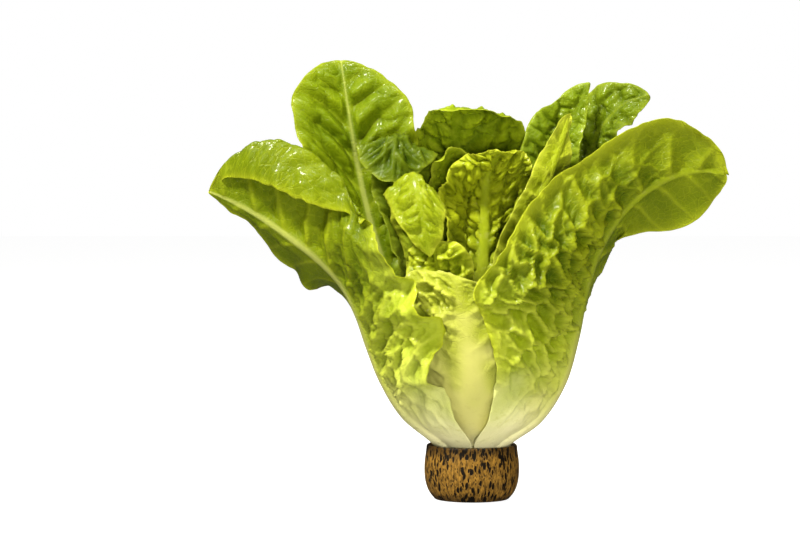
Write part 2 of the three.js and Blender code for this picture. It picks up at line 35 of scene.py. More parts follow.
# The grid of a leaf
STEP = 1.35  # mm between neighbouring points
ROWS_PER_STEP = 1.3
ROWS_CROWDED_TO_TIP = 1.45  # power
BLADE = 0.7  # mm, thickness of a blade
RIB_HALF_WIDTH = 10.0  # mm, where the leaf's own entry says nothing else
RIB_DEPTH = 3.5  # mm

# The broad wave of a margin and the shorter ripple on it, the same as in the solid
MARGIN_WAVE_SHIFT = 0.37
MARGIN_WAVE_POWER = 2.2
RIPPLE_HEIGHT = 0.45
RIPPLE_PACE = 1.73
RIPPLE_SHIFT = 1.3
WAVE_STARTS_BY = 0.2
WAVE_ENDS_OVER = 0.12

# Side veins
SIDE_VEINS = 21.0  # mm between side veins along the rib
VEIN_LEAN = 0.62  # mm that a vein runs up the leaf for each mm away from the rib
VEIN_BEND = 0.0035  # how this grows towards the margin, per mm
VEIN_WANDER = 2.5  # mm
VEIN_THIN = 0.6  # mm, half width far from the rib
VEIN_THICKER = 1.4  # mm more at the rib
VEIN_RELIEF = 0.7  # mm on the outer face

# Blisters and bulges, heights in mm
BIG_DOME = 6.2
SMALL_DOME = 1.8
VEIN_DOME = 2.2
CREASE_DEPTH = 5.6
DOME_STEEPNESS = 3.2
SMALL_CELLS = 2.1, 2.0  # small blisters to a big one, along the veins and across them
CELL_STRETCH = 1.15
CREASE_WIDTH = 0.13  # of a blister
HOLLOW_RATE = 0.35  # deep hollows only deepen at this rate
HOLLOW_SHIFT = 3.2  # mm, which puts the change of rate at about 4.9 mm

# Margins, in mm
CURL_OVER = 11.0  # the small ruffles fade over this width
RUFFLE_HEIGHT = 1.7
ROLL_OVER = 16.0  # rolled and tucked edges turn over this width
TEETH_OVER = 5.0
TEETH_HEIGHTS = (5.5, 1.0), (17, 1.8)  # length along the margin and height of each size of teeth


def ring(angle, radius, height):
    """A point given by its angle about the axis in degrees, its radius and its height."""
    return (radius * np.cos(angle * DEGREE), radius * np.sin(angle * DEGREE), height)


# The leaves: rib and margins from the base to the tip, in mm. Margin a lies counterclockwise of the rib
# when seen from above, b on the other side. a_mid moves the point between rib and margin a at a station.
LEAVES = {}
LEAVES["outer_right"] = dict(
    rib=[
        (13, -3, 22), (21.8, -5, 38), (43, -9, 54), (58, -13, 78), (66, -16, 106), (71, -18, 131),
        (79, -20, 159), (92, -22, 182), (108, -23, 199), (127, -22, 210), (146, -20, 214), (163, -18, 212),
    ],
    b=[
        ring(-72, 12, 22), (1, -24, 38), (10, -43, 57), (15, -57, 86), (10, -65, 108), (4, -70, 126),
        (-3, -73, 138), (19, -67, 167), (45, -50, 204), (81, -38, 230), (117, -30, 252), (158, -24, 248),
    ],
    a=[
        ring(40, 13, 22), ring(62, 24, 38), ring(62, 43, 54), ring(60, 60, 78), ring(52, 72, 106),
        ring(45, 80, 131), (78, 40, 153), (93, 14, 171), (110, -6, 173), (131, -6, 176), (151, -7, 186),
        (168, -12, 200),
    ],
    a_mid={6: (88, 8, 155), 7: (96, -3, 175)},
    waves=5, phase=0.1, tip=18, ruffle=[0, 0, 1, 2, 3, 3, 3, 3, 2, 2, 2, 1],
)
LEAVES["outer_left"] = dict(
    rib=[
        (-13, -3, 22), (-21.8, -5, 38), (-43, -10, 56), (-57, -13, 78), (-66, -15, 100), (-74, -17, 122),
        (-84, -18, 141), (-99, -18, 157), (-117, -17, 171), (-136, -16, 184), (-154, -15, 194),
        (-170, -14, 201),
    ],
    a=[
        ring(252, 12, 22), (-1, -24, 38), (-14, -44, 58), (-28, -58, 88), (-24, -68, 114), (-37, -69, 133),
        (-49, -66, 153), (-63, -60, 174), (-76, -50, 188), (-100, -44, 193), (-127, -38, 206),
        (-156, -26, 219),
    ],
    a_mid={
        7: (-84, -46, 178), 8: (-86, -36, 206), 9: (-108, -30, 228), 10: (-133, -26, 236),
        11: (-160, -22, 231),
    },
    b=[
        ring(140, 13, 22), ring(120, 24, 38), ring(118, 43, 56), ring(120, 58, 78), ring(126, 68, 100),
        ring(132, 76, 122), (-92, 36, 136), (-106, 22, 138), (-119, 12, 150), (-135, 5, 170),
        (-150, -2, 184), (-166, -8, 194),
    ],
    waves=6.5, phase=0.6, tip=22, ruffle_a=[0, 0, 2, 6, 7, 7, 6, 4, 2, 1, 1, 1],
    ruffle_b=[0, 0, 1, 2, 3, 3, 2, 2, 2, 1, 1, 1],
)
LEAVES["front"] = dict(
    rib=[
        (0, -10.5, 31), (0, -16, 39), (0, -33, 54), (0, -48, 76), (-3, -57, 100), (-6, -61, 120),
        (-10, -62, 136), (-15, -61, 150),
    ],
    a=[
        ring(-56, 10.5, 31), ring(-58, 16, 39), ring(-52, 33, 56), ring(-54, 48, 80), ring(-58, 58, 104),
        ring(-62, 61, 123), ring(-69, 63, 137), (4, -61, 143),
    ],
    b=[
        ring(-124, 10.5, 31), ring(-122, 16, 39), ring(-129, 33, 56), ring(-133, 47, 80),
        ring(-132, 56, 104), (-40, -45, 124), (-45, -47, 142), (-47, -49, 157),
    ],
    waves=5, phase=0.2, tip=24, rib_wide=16, ruffle=[0, 0, 0, 1, 2, 4, 5, 6],
)
LEAVES["back"] = dict(
    rib=[
        (0, 12, 28), (0, 17.5, 38), (0, 35, 54), (0, 50, 76), (2, 60, 104), (4, 68, 132), (6, 77, 160),
        (8, 89, 184), (10, 106, 202), (12, 126, 212),
    ],
    a=[
        ring(126, 12, 28), ring(120, 17.5, 38), ring(120, 35, 56), ring(120, 51, 82), ring(118, 62, 112),
        (-30, 64, 142), (-30, 73, 172), (-28, 86, 198), (-22, 102, 216), (-8, 123, 224),
    ],
    b=[
        ring(54, 12, 28), ring(60, 17.5, 38), ring(60, 35, 56), ring(60, 51, 82), ring(61, 62, 112),
        (33, 64, 142), (37, 73, 172), (39, 86, 198), (38, 102, 216), (30, 123, 224),
    ],
    waves=5, phase=0.8, tip=8, ruffle=[0, 0, 1, 3, 4, 5, 5, 4, 3, 2],
)
LEAVES["back_left"] = dict(
    rib=[
        ring(150, 11, 31), ring(150, 16.5, 39), ring(148, 33, 56), ring(146, 49, 80), ring(143, 62, 108),
        ring(139, 73, 136), (-57, 58, 164), (-62, 70, 190), (-70, 84, 212), (-80, 98, 226),
    ],
    a=[
        ring(171, 11, 31), ring(171, 16.5, 39), ring(171, 33, 56), ring(169, 49, 82), ring(164, 63, 112),
        ring(152, 77, 142), (-80, 44, 172), (-90, 58, 198), (-96, 76, 216), (-96, 94, 228),
    ],
    b=[
        ring(130, 11, 31), ring(130, 16.5, 39), ring(128, 33, 56), ring(127, 50, 82), ring(126, 63, 112),
        ring(124, 74, 142), (-38, 68, 170), (-40, 82, 196), (-48, 96, 216), (-62, 106, 228),
    ],
    waves=5, phase=0.4, tip=8, ruffle=[0, 0, 0, 2, 3, 4, 4, 4, 3, 2],
)
LEAVES["back_right"] = dict(
    rib=[
        ring(32, 11, 31), ring(32, 16.5, 39), ring(34, 33, 56), ring(36, 49, 80), ring(39, 62, 108),
        ring(42, 73, 136), (62, 60, 164), (68, 72, 190), (76, 84, 212), (86, 96, 226),
    ],
    a=[
        ring(50, 11, 31), ring(50, 16.5, 39), ring(50, 33, 56), ring(53, 50, 82), ring(54, 63, 112),
        ring(56, 74, 142), (45, 70, 170), (49, 84, 196), (57, 98, 216), (70, 106, 228),
    ],
    b=[
        ring(11, 11, 31), ring(11, 16.5, 39), ring(11, 33, 56), ring(13, 49, 82), ring(19, 63, 112),
        ring(28, 73, 142), (80, 44, 172), (92, 56, 198), (98, 72, 216), (102, 90, 228),
    ],
    waves=5, phase=0.95, tip=8, ruffle=[0, 0, 0, 2, 3, 4, 4, 4, 3, 2],
)
LEAVES["upper_left"] = dict(
    rib=[
        ring(135, 9.5, 40), ring(135, 14.5, 49), ring(136, 30, 62), (-34, 30, 86), (-45, 35, 112),
        (-54, 37, 138), (-62, 38, 164), (-69, 37, 190), (-75, 36, 218), (-80, 36, 248), (-84, 38, 274),
        (-86, 42, 287),
    ],
    a=[
        ring(176, 9.5, 40), ring(178, 14.5, 49), ring(178, 31, 64), ring(172, 46, 92), (-64, 8, 122),
        (-78, 11, 152), (-92, 14, 182), (-105, 17, 210), (-114, 22, 236), (-119, 26, 258), (-116, 31, 277),
        (-106, 38, 290),
    ],
    b=[
        ring(98, 9.5, 40), ring(98, 14.5, 49), ring(100, 31, 64), ring(106, 43, 92), (-22, 44, 120),
        (-29, 43, 148), (-34, 38, 176), (-35, 32, 204), (-35, 27, 232), (-38, 26, 256), (-50, 30, 275),
        (-66, 38, 290),
    ],
    waves=5, phase=0.3, tip=12, ruffle=[0, 0, 1, 2, 3, 4, 4, 4, 3, 2, 2, 1],
)
LEAVES["right_back"] = dict(
    rib=[
        ring(28, 9.5, 40), ring(28, 14.5, 49), ring(28, 30, 62), (41, 20, 88), (52, 24, 116), (60, 26, 144),
        (67, 28, 172), (73, 32, 198), (78, 36, 222), (87, 36, 243), (101, 31, 258), (117, 26, 264),
    ],
    a=[
        ring(66, 9.5, 40), ring(68, 14.5, 49), ring(68, 31, 66), (22, 40, 94), (32, 46, 124), (42, 50, 154),
        (50, 52, 182), (58, 52, 208), (63, 51, 234), (71, 47, 259), (87, 39, 275), (108, 31, 279),
    ],
    b=[
        ring(-12, 9.5, 40), ring(-10, 14.5, 49), ring(-6, 31, 66), (50, -2, 92), (60, 0, 120), (67, 2, 148),
        (77, 4, 172), (86, 10, 196), (91, 18, 216), (97, 22, 235), (108, 22, 247), (121, 22, 256),
    ],
    waves=6, phase=0.15, tip=12, ruffle=[0, 0, 1, 2, 3, 3, 3, 3, 3, 3, 2, 2],
)
LEAVES["back_dome"] = dict(
    rib=[
        ring(97, 8.5, 53), (-2, 14, 60), (-4, 25, 78), (-6, 33, 106), (-8, 39, 134), (-9, 43, 164),
        (-10, 46, 192), (-10, 45, 218), (-10, 38, 240), (-9, 25, 254), (-8, 12, 254),
    ],
    a=[
        ring(126, 8.5, 53), (-8, 12, 60), (-15, 20, 80), (-19, 28, 108), (-23, 34, 138), (-28, 40, 168),
        (-34, 43, 196), (-38, 42, 222), (-36, 34, 242), (-28, 18, 252), (-18, 8, 250),
    ],
    b=[
        ring(68, 8.5, 53), (5, 13, 60), (12, 22, 80), (18, 30, 108), (22, 36, 138), (28, 41, 168),
        (34, 42, 192), (38, 39, 212), (38, 30, 236), (26, 16, 252), (10, 8, 252),
    ],
    waves=5, phase=0.7, tip=14, ruffle=[0, 0, 1, 2, 3, 4, 4, 3, 3, 2, 2],
)
LEAVES["right_peak"] = dict(
    rib=[
        ring(42, 8.5, 51), ring(44, 12, 58), (15, 15, 78), (24, 22, 106), (33, 28, 136), (41, 30, 166),
        (49, 30, 194), (57, 29, 220), (65, 28, 244), (73, 27, 263), (78, 27, 272),
    ],
    a=[
        ring(62, 8.5, 51), ring(62, 11.5, 58), (7, 16, 80), (12, 22, 110), (18, 27, 142), (24, 30, 174),
        (30, 31, 204), (33, 26, 229), (39, 24, 250), (58, 26, 265), (73, 27, 274),
    ],
    b=[
        ring(20, 8.5, 51), ring(20, 12, 58), (20, 8, 80), (31, 12, 108), (42, 14, 138), (52, 16, 168),
        (62, 17, 196), (70, 18, 220), (74, 20, 240), (78, 23, 256), (80, 25, 268),
    ],
    waves=5, phase=0.45, tip=8, rib_wide=7, rib_depth=2.5, ruffle=[0, 0, 1, 2, 3, 3, 3, 3, 2, 1, 1],
)
LEAVES["folded_left"] = dict(
    rib=[
        ring(160, 8.5, 51), ring(160, 13, 58), (-20, 9, 78), (-29, 12, 106), (-36, 15, 136), (-42, 17, 166),
        (-46, 16, 194), (-48, 12, 219), (-49, 1, 236), (-50, -13, 233), (-52, -22, 207),
    ],
    a=[
        ring(184, 8.5, 51), ring(185, 13, 58), (-22, 0, 80), (-33, 1, 108), (-43, 3, 138), (-53, 5, 168),
        (-61, 6, 196), (-68, 4, 216), (-73, -3, 227), (-75, -13, 222), (-70, -19, 204),
    ],
    b=[
        ring(134, 8.5, 51), ring(134, 12, 58), (-14, 15, 80), (-20, 19, 108), (-24, 22, 138),
        (-27, 23, 168), (-27, 20, 196), (-26, 14, 214), (-24, 3, 223), (-25, -9, 218), (-32, -17, 205),
    ],
    waves=5, phase=0.35, tip=20, rib_wide=7, rib_depth=2.5, ruffle=[0, 0, 1, 2, 2, 2, 2, 2, 2, 2, 2],
)
LEAVES["nodding_left"] = dict(
    rib=[
        ring(212, 8.5, 48), ring(212, 12.5, 60), (-17, -10, 80), (-25, -14, 108), (-31, -17, 138),
        (-35, -20, 166), (-38, -24, 190), (-39, -30, 207), (-38, -42, 213), (-35, -52, 198),
        (-31, -55, 177), (-28, -54, 160),
    ],
    a=[
        ring(234, 8.5, 48), ring(236, 12, 60), (-9, -17, 82), (-13, -24, 110), (-16, -28, 140),
        (-18, -31, 168), (-19, -34, 188), (-21, -39, 197), (-19, -48, 197), (-17, -54, 186),
        (-17, -56, 173), (-21, -54, 161),
    ],
    b=[
        ring(192, 8.5, 48), ring(192, 13, 60), (-21, -5, 82), (-31, -6, 110), (-40, -8, 140),
        (-47, -11, 166), (-51, -15, 186), (-57, -22, 196), (-58, -35, 198), (-55, -47, 190),
        (-50, -53, 177), (-40, -54, 164),
    ],
    waves=4, phase=0.5, tip=10, rib_wide=7, rib_depth=2.5, ruffle=[0, 0, 1, 2, 2, 2, 2, 1, 1, 1, 1, 1],
)
LEAVES["inner_right"] = dict(
    rib=[
        ring(-32, 8.5, 48), ring(-34, 12.5, 60), (14, -12, 80), (19, -20, 104), (25, -27, 132),
        (31, -31, 156), (38, -30, 178), (46, -24, 200), (54, -16, 222), (60, -8, 240), (63, -2, 250),
    ],
    a=[
        ring(10, 8.5, 48), ring(6, 12.5, 60), (21, -2, 82), (33, -4, 108), (44, -6, 136), (53, -8, 160),
        (58, -10, 180), (60, -10, 202), (62, -8, 222), (64, -4, 240), (65, -1, 252),
    ],
    b=[
        ring(-64, 8.5, 48), ring(-66, 12.5, 60), (6, -18, 82), (7, -28, 106), (9, -36, 132), (12, -40, 154),
        (17, -39, 175), (29, -32, 199), (41, -22, 222), (51, -11, 241), (60, -3, 254),
    ],
    waves=4, phase=0.15, tip=8, rib_wide=7, rib_depth=2.5, ruffle=[0, 0, 1, 2, 2, 2, 2, 1, 1, 1, 1],
)
LEAVES["centre"] = dict(
    rib=[
        (2, 2, 68), (3, 3, 80), (4, 5, 96), (6, 5, 120), (7, 6, 148), (8, 6, 172), (8, 4, 194),
        (10, -1, 212), (15, -9, 222), (19, -17, 226),
    ],
    a=[
        (-2, 2, 68), (-4, 3, 82), (-7, 3, 100), (-11, 1, 126), (-15, 0, 156), (-18, -2, 182),
        (-20, -5, 203), (-14, -10, 218), (-2, -15, 226), (12, -19, 230),
    ],
    b=[
        (5, 1, 68), (9, 2, 82), (14, 3, 100), (21, 2, 126), (27, 1, 156), (33, -1, 182), (38, -5, 203),
        (41, -9, 216), (37, -14, 225), (28, -19, 229),
    ],
    waves=5, phase=0.25, tip=12, rib_wide=6, rib_depth=3, ruffle=[0, 0, 1, 2, 2, 3, 3, 2, 2, 1],
)
LEAVES["inner_front"] = dict(
    rib=[
        ring(-94, 8.5, 50), ring(-98, 13, 62), (-7, -24, 80), (-15, -37, 104), (-20, -43, 132),
        (-23, -46, 154), (-25, -48, 170),
    ],
    a=[
        ring(-72, 8.5, 50), ring(-74, 13, 62), (3, -25, 80), (6, -38, 106), (4, -45, 134), (0, -49, 156),
        (-6, -50, 170),
    ],
    b=[
        ring(-118, 8.5, 50), ring(-118, 13, 62), (-16, -21, 80), (-26, -29, 106), (-36, -33, 134),
        (-42, -36, 156), (-45, -41, 172),
    ],
    waves=4, phase=0.75, tip=14, rib_wide=7, rib_depth=2.5, ruffle=[0, 0, 2, 3, 4, 5, 5],
)
LEAVES["inner_back"] = dict(
    rib=[
        (4.5, 6, 62), (8, 9, 76), (15, 13, 96), (20, 15, 122), (24, 16, 150), (27, 16, 176), (29, 14, 198),
        (30, 9, 214), (30, 2, 221),
    ],
    a=[
        (2.5, 7, 62), (5, 10, 76), (9, 15, 98), (12, 18, 124), (15, 20, 152), (17, 20, 178), (18, 17, 200),
        (19, 11, 214), (22, 4, 220),
    ],
    b=[
        (7, 4.5, 62), (12, 7, 76), (20, 9, 98), (27, 10, 124), (33, 10, 152), (37, 9, 178), (40, 7, 198),
        (41, 3, 212), (38, -2, 218),
    ],
    waves=5, phase=0.55, tip=14, rib_wide=5, rib_depth=1.6, ruffle=[0, 0, 1, 2, 3, 3, 3, 3, 2],
)
LEAVES["inner_left"] = dict(
    rib=[
        (-3, 7.5, 60), (-5, 10, 74), (-7, 13, 94), (-10, 16, 120), (-13, 18, 150), (-15, 19, 178),
        (-16, 18, 202), (-16, 14, 220), (-14, 6, 229),
    ],
    a=[
        (-7, 5.5, 60), (-10, 8, 76), (-15, 9, 96), (-21, 10, 122), (-25, 11, 152), (-29, 12, 180),
        (-30, 10, 200), (-25, 7, 214), (-20, 3, 223),
    ],
    b=[
        (1, 8, 60), (2, 10.5, 76), (2, 13, 96), (3, 16, 122), (3, 18, 152), (2, 19, 180), (1, 17, 204),
        (0, 12, 220), (-4, 5, 228),
    ],
    waves=5, phase=0.05, tip=14, rib_wide=6, rib_depth=2, ruffle=[0, 0, 1, 2, 3, 4, 4, 4, 3],
)

# Leaf colours in linear values: deep green of the hollows, lighter green of the domes, and the margin's.
# The deep and lighter greens carry painted shade and painted light: dark in the creases and hollows,
# light on the domes. The margin's green is partly a painted glow of light through the thin edge.
TONES = {
    "outer_right": ((0.04, 0.08, 0.001), (0.26, 0.31, 0.007), (0.45, 0.5, 0.02)),
    "outer_left": ((0.045, 0.085, 0.001), (0.19, 0.245, 0.003), (0.42, 0.47, 0.015)),
    "front": ((0.2, 0.25, 0.007), (0.44, 0.48, 0.035), (0.58, 0.6, 0.1)),
    "back": ((0.05, 0.09, 0.001), (0.2, 0.27, 0.006), (0.36, 0.42, 0.02)),
    "back_left": ((0.05, 0.09, 0.001), (0.2, 0.27, 0.006), (0.36, 0.42, 0.02)),
    "back_right": ((0.035, 0.07, 0.001), (0.14, 0.2, 0.005), (0.28, 0.34, 0.02)),
    "upper_left": ((0.05, 0.098, 0.001), (0.2, 0.27, 0.003), (0.32, 0.38, 0.012)),
    "right_back": ((0.024, 0.058, 0.001), (0.15, 0.215, 0.004), (0.28, 0.35, 0.02)),
    # back_dome lies in shade at the back; its greens are made lighter as painted light.
    "back_dome": ((0.05, 0.11, 0.001), (0.34, 0.44, 0.008), (0.46, 0.54, 0.03)),
    "right_peak": ((0.035, 0.085, 0.001), (0.17, 0.24, 0.004), (0.3, 0.38, 0.02)),
    "folded_left": ((0.022, 0.05, 0.001), (0.098, 0.148, 0.002), (0.25, 0.31, 0.015)),
    "nodding_left": ((0.09, 0.15, 0.001), (0.27, 0.33, 0.005), (0.46, 0.5, 0.03)),
    "inner_right": ((0.2, 0.27, 0.002), (0.43, 0.49, 0.014), (0.56, 0.6, 0.05)),
    # The centre lies in shade inside the head; its greens are made lighter as painted light.
    "centre": ((0.045, 0.09, 0.001), (0.36, 0.42, 0.008), (0.54, 0.58, 0.03)),
    "inner_front": ((0.1, 0.16, 0.001), (0.36, 0.43, 0.008), (0.54, 0.58, 0.04)),
    "inner_back": ((0.06, 0.115, 0.001), (0.27, 0.35, 0.006), (0.44, 0.5, 0.03)),
    "inner_left": ((0.065, 0.125, 0.001), (0.28, 0.36, 0.006), (0.46, 0.52, 0.03)),
}
CREAM = (0.84, 0.80, 0.47)
PALE_GREEN = (0.60, 0.565, 0.20)
SMUDGE = (0.44, 0.41, 0.12)
YOUNG_DEEP = (0.33, 0.42, 0.011)
YOUNG_LIGHT = (0.60, 0.67, 0.08)
SHINING_THROUGH = (0.50, 0.62, 0.005)
# The olive rib green is partly painted shade: the rib's colour where it lies in shade.
OLIVE_RIB_AND_SHADE = (0.27, 0.33, 0.010)
PALE_RIB = (0.46, 0.49, 0.12)
CREAMY_RIB = (0.50, 0.49, 0.13)
RIBS = {"outer_left": PALE_RIB, "upper_left": PALE_RIB, "front": CREAMY_RIB}

# The relief of a leaf where RELIEF says nothing else. Of a pair by sides, margin b's value comes first.
PLAIN_RELIEF = dict(
    puff=[0.6, 1.2, 1.2, 1.1],  # strength of the blisters from base to tip
    cell=10,  # mm across a blister
    fold=1.0,  # mm, height of the bulges between the side veins
    bare=(0.06, 0.24),  # t between which the relief starts
    calm=(1.0, 1.0),  # by sides, what is left of blisters and bulges
    frill=(0.4, 0.4),  # by sides, strength of the small ruffles and teeth
    roll=(1, 1),  # by sides, mm that the upper margin turns to the outer face
    tuck=(0, 0),  # by sides, mm that the lower margin turns to the inner face
    ridge=1.0,  # what is left of the rib's depth
    rib=(0.5, 0.5),  # width and strength of the rib's pale line
    pale=(0.09, 0.36),  # t between which the pale base ends
    clouds=0.03,  # how ragged this end is
    young=(0, 0),  # by sides, how much lower on the leaf a margin takes its colour
    # the bright edge is partly a painted glow of light through the thin margin
    band=(2.2, 2.2),  # by sides, mm that the bright edge fades over
)
RELIEF = {}
RELIEF["outer_right"] = dict(
    puff=[0.5, 1.0, 1.3, 1.6, 1.5, 0.7, 0.2, 0.1], cell=14, fold=3.4, bare=(0.12, 0.34), calm=(1, 0.15),
    frill=(0.6, 0.1), roll=(5, 1), tuck=(2.5, 0), rib=(0.75, 1.0), young=(0.16, 0), band=(6, 2.2),
)
RELIEF["outer_left"] = dict(
    puff=[0.4, 0.8, 1.1, 0.8, 0.45, 0.25, 0.2, 0.2], cell=12, fold=2.6, bare=(0.09, 0.30), calm=(0.12, 1),
    frill=(0.1, 0.8), roll=(1, 2), tuck=(0, 5), rib=(0.6, 0.9), pale=(0.06, 0.36), young=(0, 0.16),
)
RELIEF["front"] = dict(
    puff=[0.1, 0.12, 0.2, 0.45, 0.9, 1.0], cell=9, fold=0.2, calm=(1, 0.4), frill=(1.0, 1.0), roll=(0, 0),
    ridge=0.3, rib=(0.8, 0.15), pale=(0.34, 0.82), clouds=0.18,
)
RELIEF["upper_left"] = dict(
    puff=[0.6, 0.9, 0.55, 0.45, 0.4, 0.3], cell=18, fold=4.5, frill=(0.4, 0.3), roll=(2, 2), rib=(0.4, 0.7),
)
RELIEF["folded_left"] = dict(puff=[0.6, 0.8, 0.8, 0.7], fold=2.5, rib=(0.4, 0.2))
RELIEF["nodding_left"] = dict(puff=[0.6, 0.6, 0.55, 0.5], cell=11, fold=2, rib=(0.4, 0.2))
RELIEF["inner_right"] = dict(
    puff=[0.3, 0.3, 0.3, 0.3], cell=15, frill=(0.3, 0.3), roll=(2, 1), rib=(0.4, 0.2),
)
RELIEF["centre"] = dict(puff=[0.6, 1.2, 1.5, 1.4], cell=8, frill=(0.6, 0.4), roll=(0, 0), rib=(0.8, 0.9))
RELIEF["inner_front"] = dict(
    puff=[0.8, 1.0, 1.5, 1.6], cell=7, frill=(1.4, 1.4), roll=(0, 0), rib=(0.5, 0.3),
)
RELIEF["inner_left"] = dict(puff=[0.6, 0.8, 0.6, 0.7])
RELIEF["back_dome"] = dict(
    puff=[0.8, 1.2, 1.6, 1.7, 1.5, 1.0, 0.3], cell=11, frill=(0.1, 0.1), roll=(0, 0), rib=(0.4, 0.2),
)
RELIEF["right_peak"] = dict(puff=[0.8, 0.9, 0.9, 0.7], cell=11, frill=(0.2, 0.4), rib=(0.4, 0.2))
RELIEF["right_back"] = dict(puff=[0.8, 0.9, 0.9, 0.7], cell=11, frill=(0.7, 0.3), rib=(0.4, 0.5))
RELIEF["back_left"] = dict(puff=[0.6, 1.0, 1.0, 0.9], cell=12, frill=(0.5, 0.5))


def smooth(low, high, x):
    """0 below low, 1 above high, 3k^2 - 2k^3 between."""
    k = np.clip((x - low) / (high - low), 0, 1)
    return k * k * (3 - 2 * k)


def unit(a):
    """Vectors divided by their lengths."""
    return a / np.maximum(np.linalg.norm(a, axis=-1, keepdims=True), 1e-12)


def gaps(points, axis):
    """Distances between neighbouring points along an axis."""
    return np.linalg.norm(np.diff(points, axis=axis), axis=-1)


def way(points):
    """The way along a line of points: the running sum of their distances, from 0."""
    return np.concatenate([[0], np.cumsum(gaps(points, 0))])


def along(values, t):
    """Catmull-Rom curve through evenly spaced values, at t from 0 to 1."""
    v = np.asarray(values, float)
    n = len(v) - 1
    x = np.clip(t, 0, 1) * n
    i = np.minimum(x.astype(int), n - 1)
    f = (x - i).reshape(np.shape(x) + (1,) * (v.ndim - 1))
    w = np.concatenate([[2 * v[0] - v[1]], v, [2 * v[-1] - v[-2]]])
    p, q, r, s = w[i], w[i + 1], w[i + 2], w[i + 3]
    return 0.5 * (2 * q + (r - p) * f + (2 * p - 5 * q + 4 * r - s) * f**2 + (3 * q - p - 3 * r + s) * f**3)


def midway(p, q):
    """The point halfway between p and q, taken round the axis."""
    first, last = np.arctan2(p[1], p[0]), np.arctan2(q[1], q[0])
    angle = first + ((last - first + np.pi) % (2 * np.pi) - np.pi) / 2
    radius = (np.hypot(*p[:2]) + np.hypot(*q[:2])) / 2
    return (radius * np.cos(angle), radius * np.sin(angle), (p[2] + q[2]) / 2)


def control_lines(leaf):
    """Margin b, halfway to it, rib, halfway to margin a, margin a, at each given station."""
    rows = []
    for i, (a, rib, b) in enumerate(zip(leaf["a"], leaf["rib"], leaf["b"])):
        rows.append((b, midway(rib, b), rib, leaf.get("a_mid", {}).get(i, midway(rib, a)), a))
    return np.array(rows, float)


def sheet(lines, tip, t, u):
    """Points at the stations t and the signed widths u. The width closes to the tip as sqrt(1 - t^tip)."""
    across = np.stack([along(row, (u + 1) / 2) for row in along(lines, t)])
    rib = along(lines, t)[:, 2:3]
    return rib + (across - rib) * np.sqrt(np.clip(1 - t**tip, 0, 1))[:, None, None]


def sheet_normals(lines, tip, t, u):
    """Directions of the inner face: the way up the leaf crossed with the way across it, both from points a
    little to either side and kept off the very base and tip."""
    up, over = 2e-3, 0.02
    lengthwise = sheet(lines, tip, np.clip(t + up, 0.004, 0.999), u)
    lengthwise = lengthwise - sheet(lines, tip, np.clip(t - up, 0, 0.995), u)
    near = np.minimum(t, 0.985)
    crosswise = sheet(lines, tip, near, np.clip(u + over, -1, 1))
    crosswise = crosswise - sheet(lines, tip, near, np.clip(u - over, -1, 1))
    return unit(np.cross(lengthwise, crosswise))


def hashed(i, j, seed):
    """A number from 0 to 1 for each pair of whole numbers: the fraction of a large sine."""
    x = np.sin(i * 127.1 + j * 311.7 + seed * 74.7) * 43758.5453
    return x - np.floor(x)


def crease_gap(x, y, seed):
    """0 on the creases and growing into the cells: how much farther the second nearest of one jittered point
    per unit square is than the nearest."""
    i, j = np.floor(x), np.floor(y)
    first, second = np.full(x.shape, 9.0), np.full(x.shape, 9.0)
    for di in (-1, 0, 1):
        for dj in (-1, 0, 1):
            px = i + di + 0.15 + 0.7 * hashed(i + di, j + dj, seed)
            py = j + dj + 0.15 + 0.7 * hashed(i + di, j + dj, seed + 5)
            d = np.hypot(x - px, y - py)
            second = np.minimum(second, np.maximum(first, d))
            first = np.minimum(first, d)
    return second - first


def noise(x, y, seed):
    """Smooth value noise from -1 to 1: hashed corners of unit squares, eased between as 3k^2 - 2k^3."""
    i, j = np.floor(x), np.floor(y)
    f, g = x - i, y - j
    f, g = f * f * (3 - 2 * f), g * g * (3 - 2 * g)
    low = hashed(i, j, seed) * (1 - f) + hashed(i + 1, j, seed) * f
    high = hashed(i, j + 1, seed) * (1 - f) + hashed(i + 1, j + 1, seed) * f
    return 2 * (low * (1 - g) + high * g) - 1


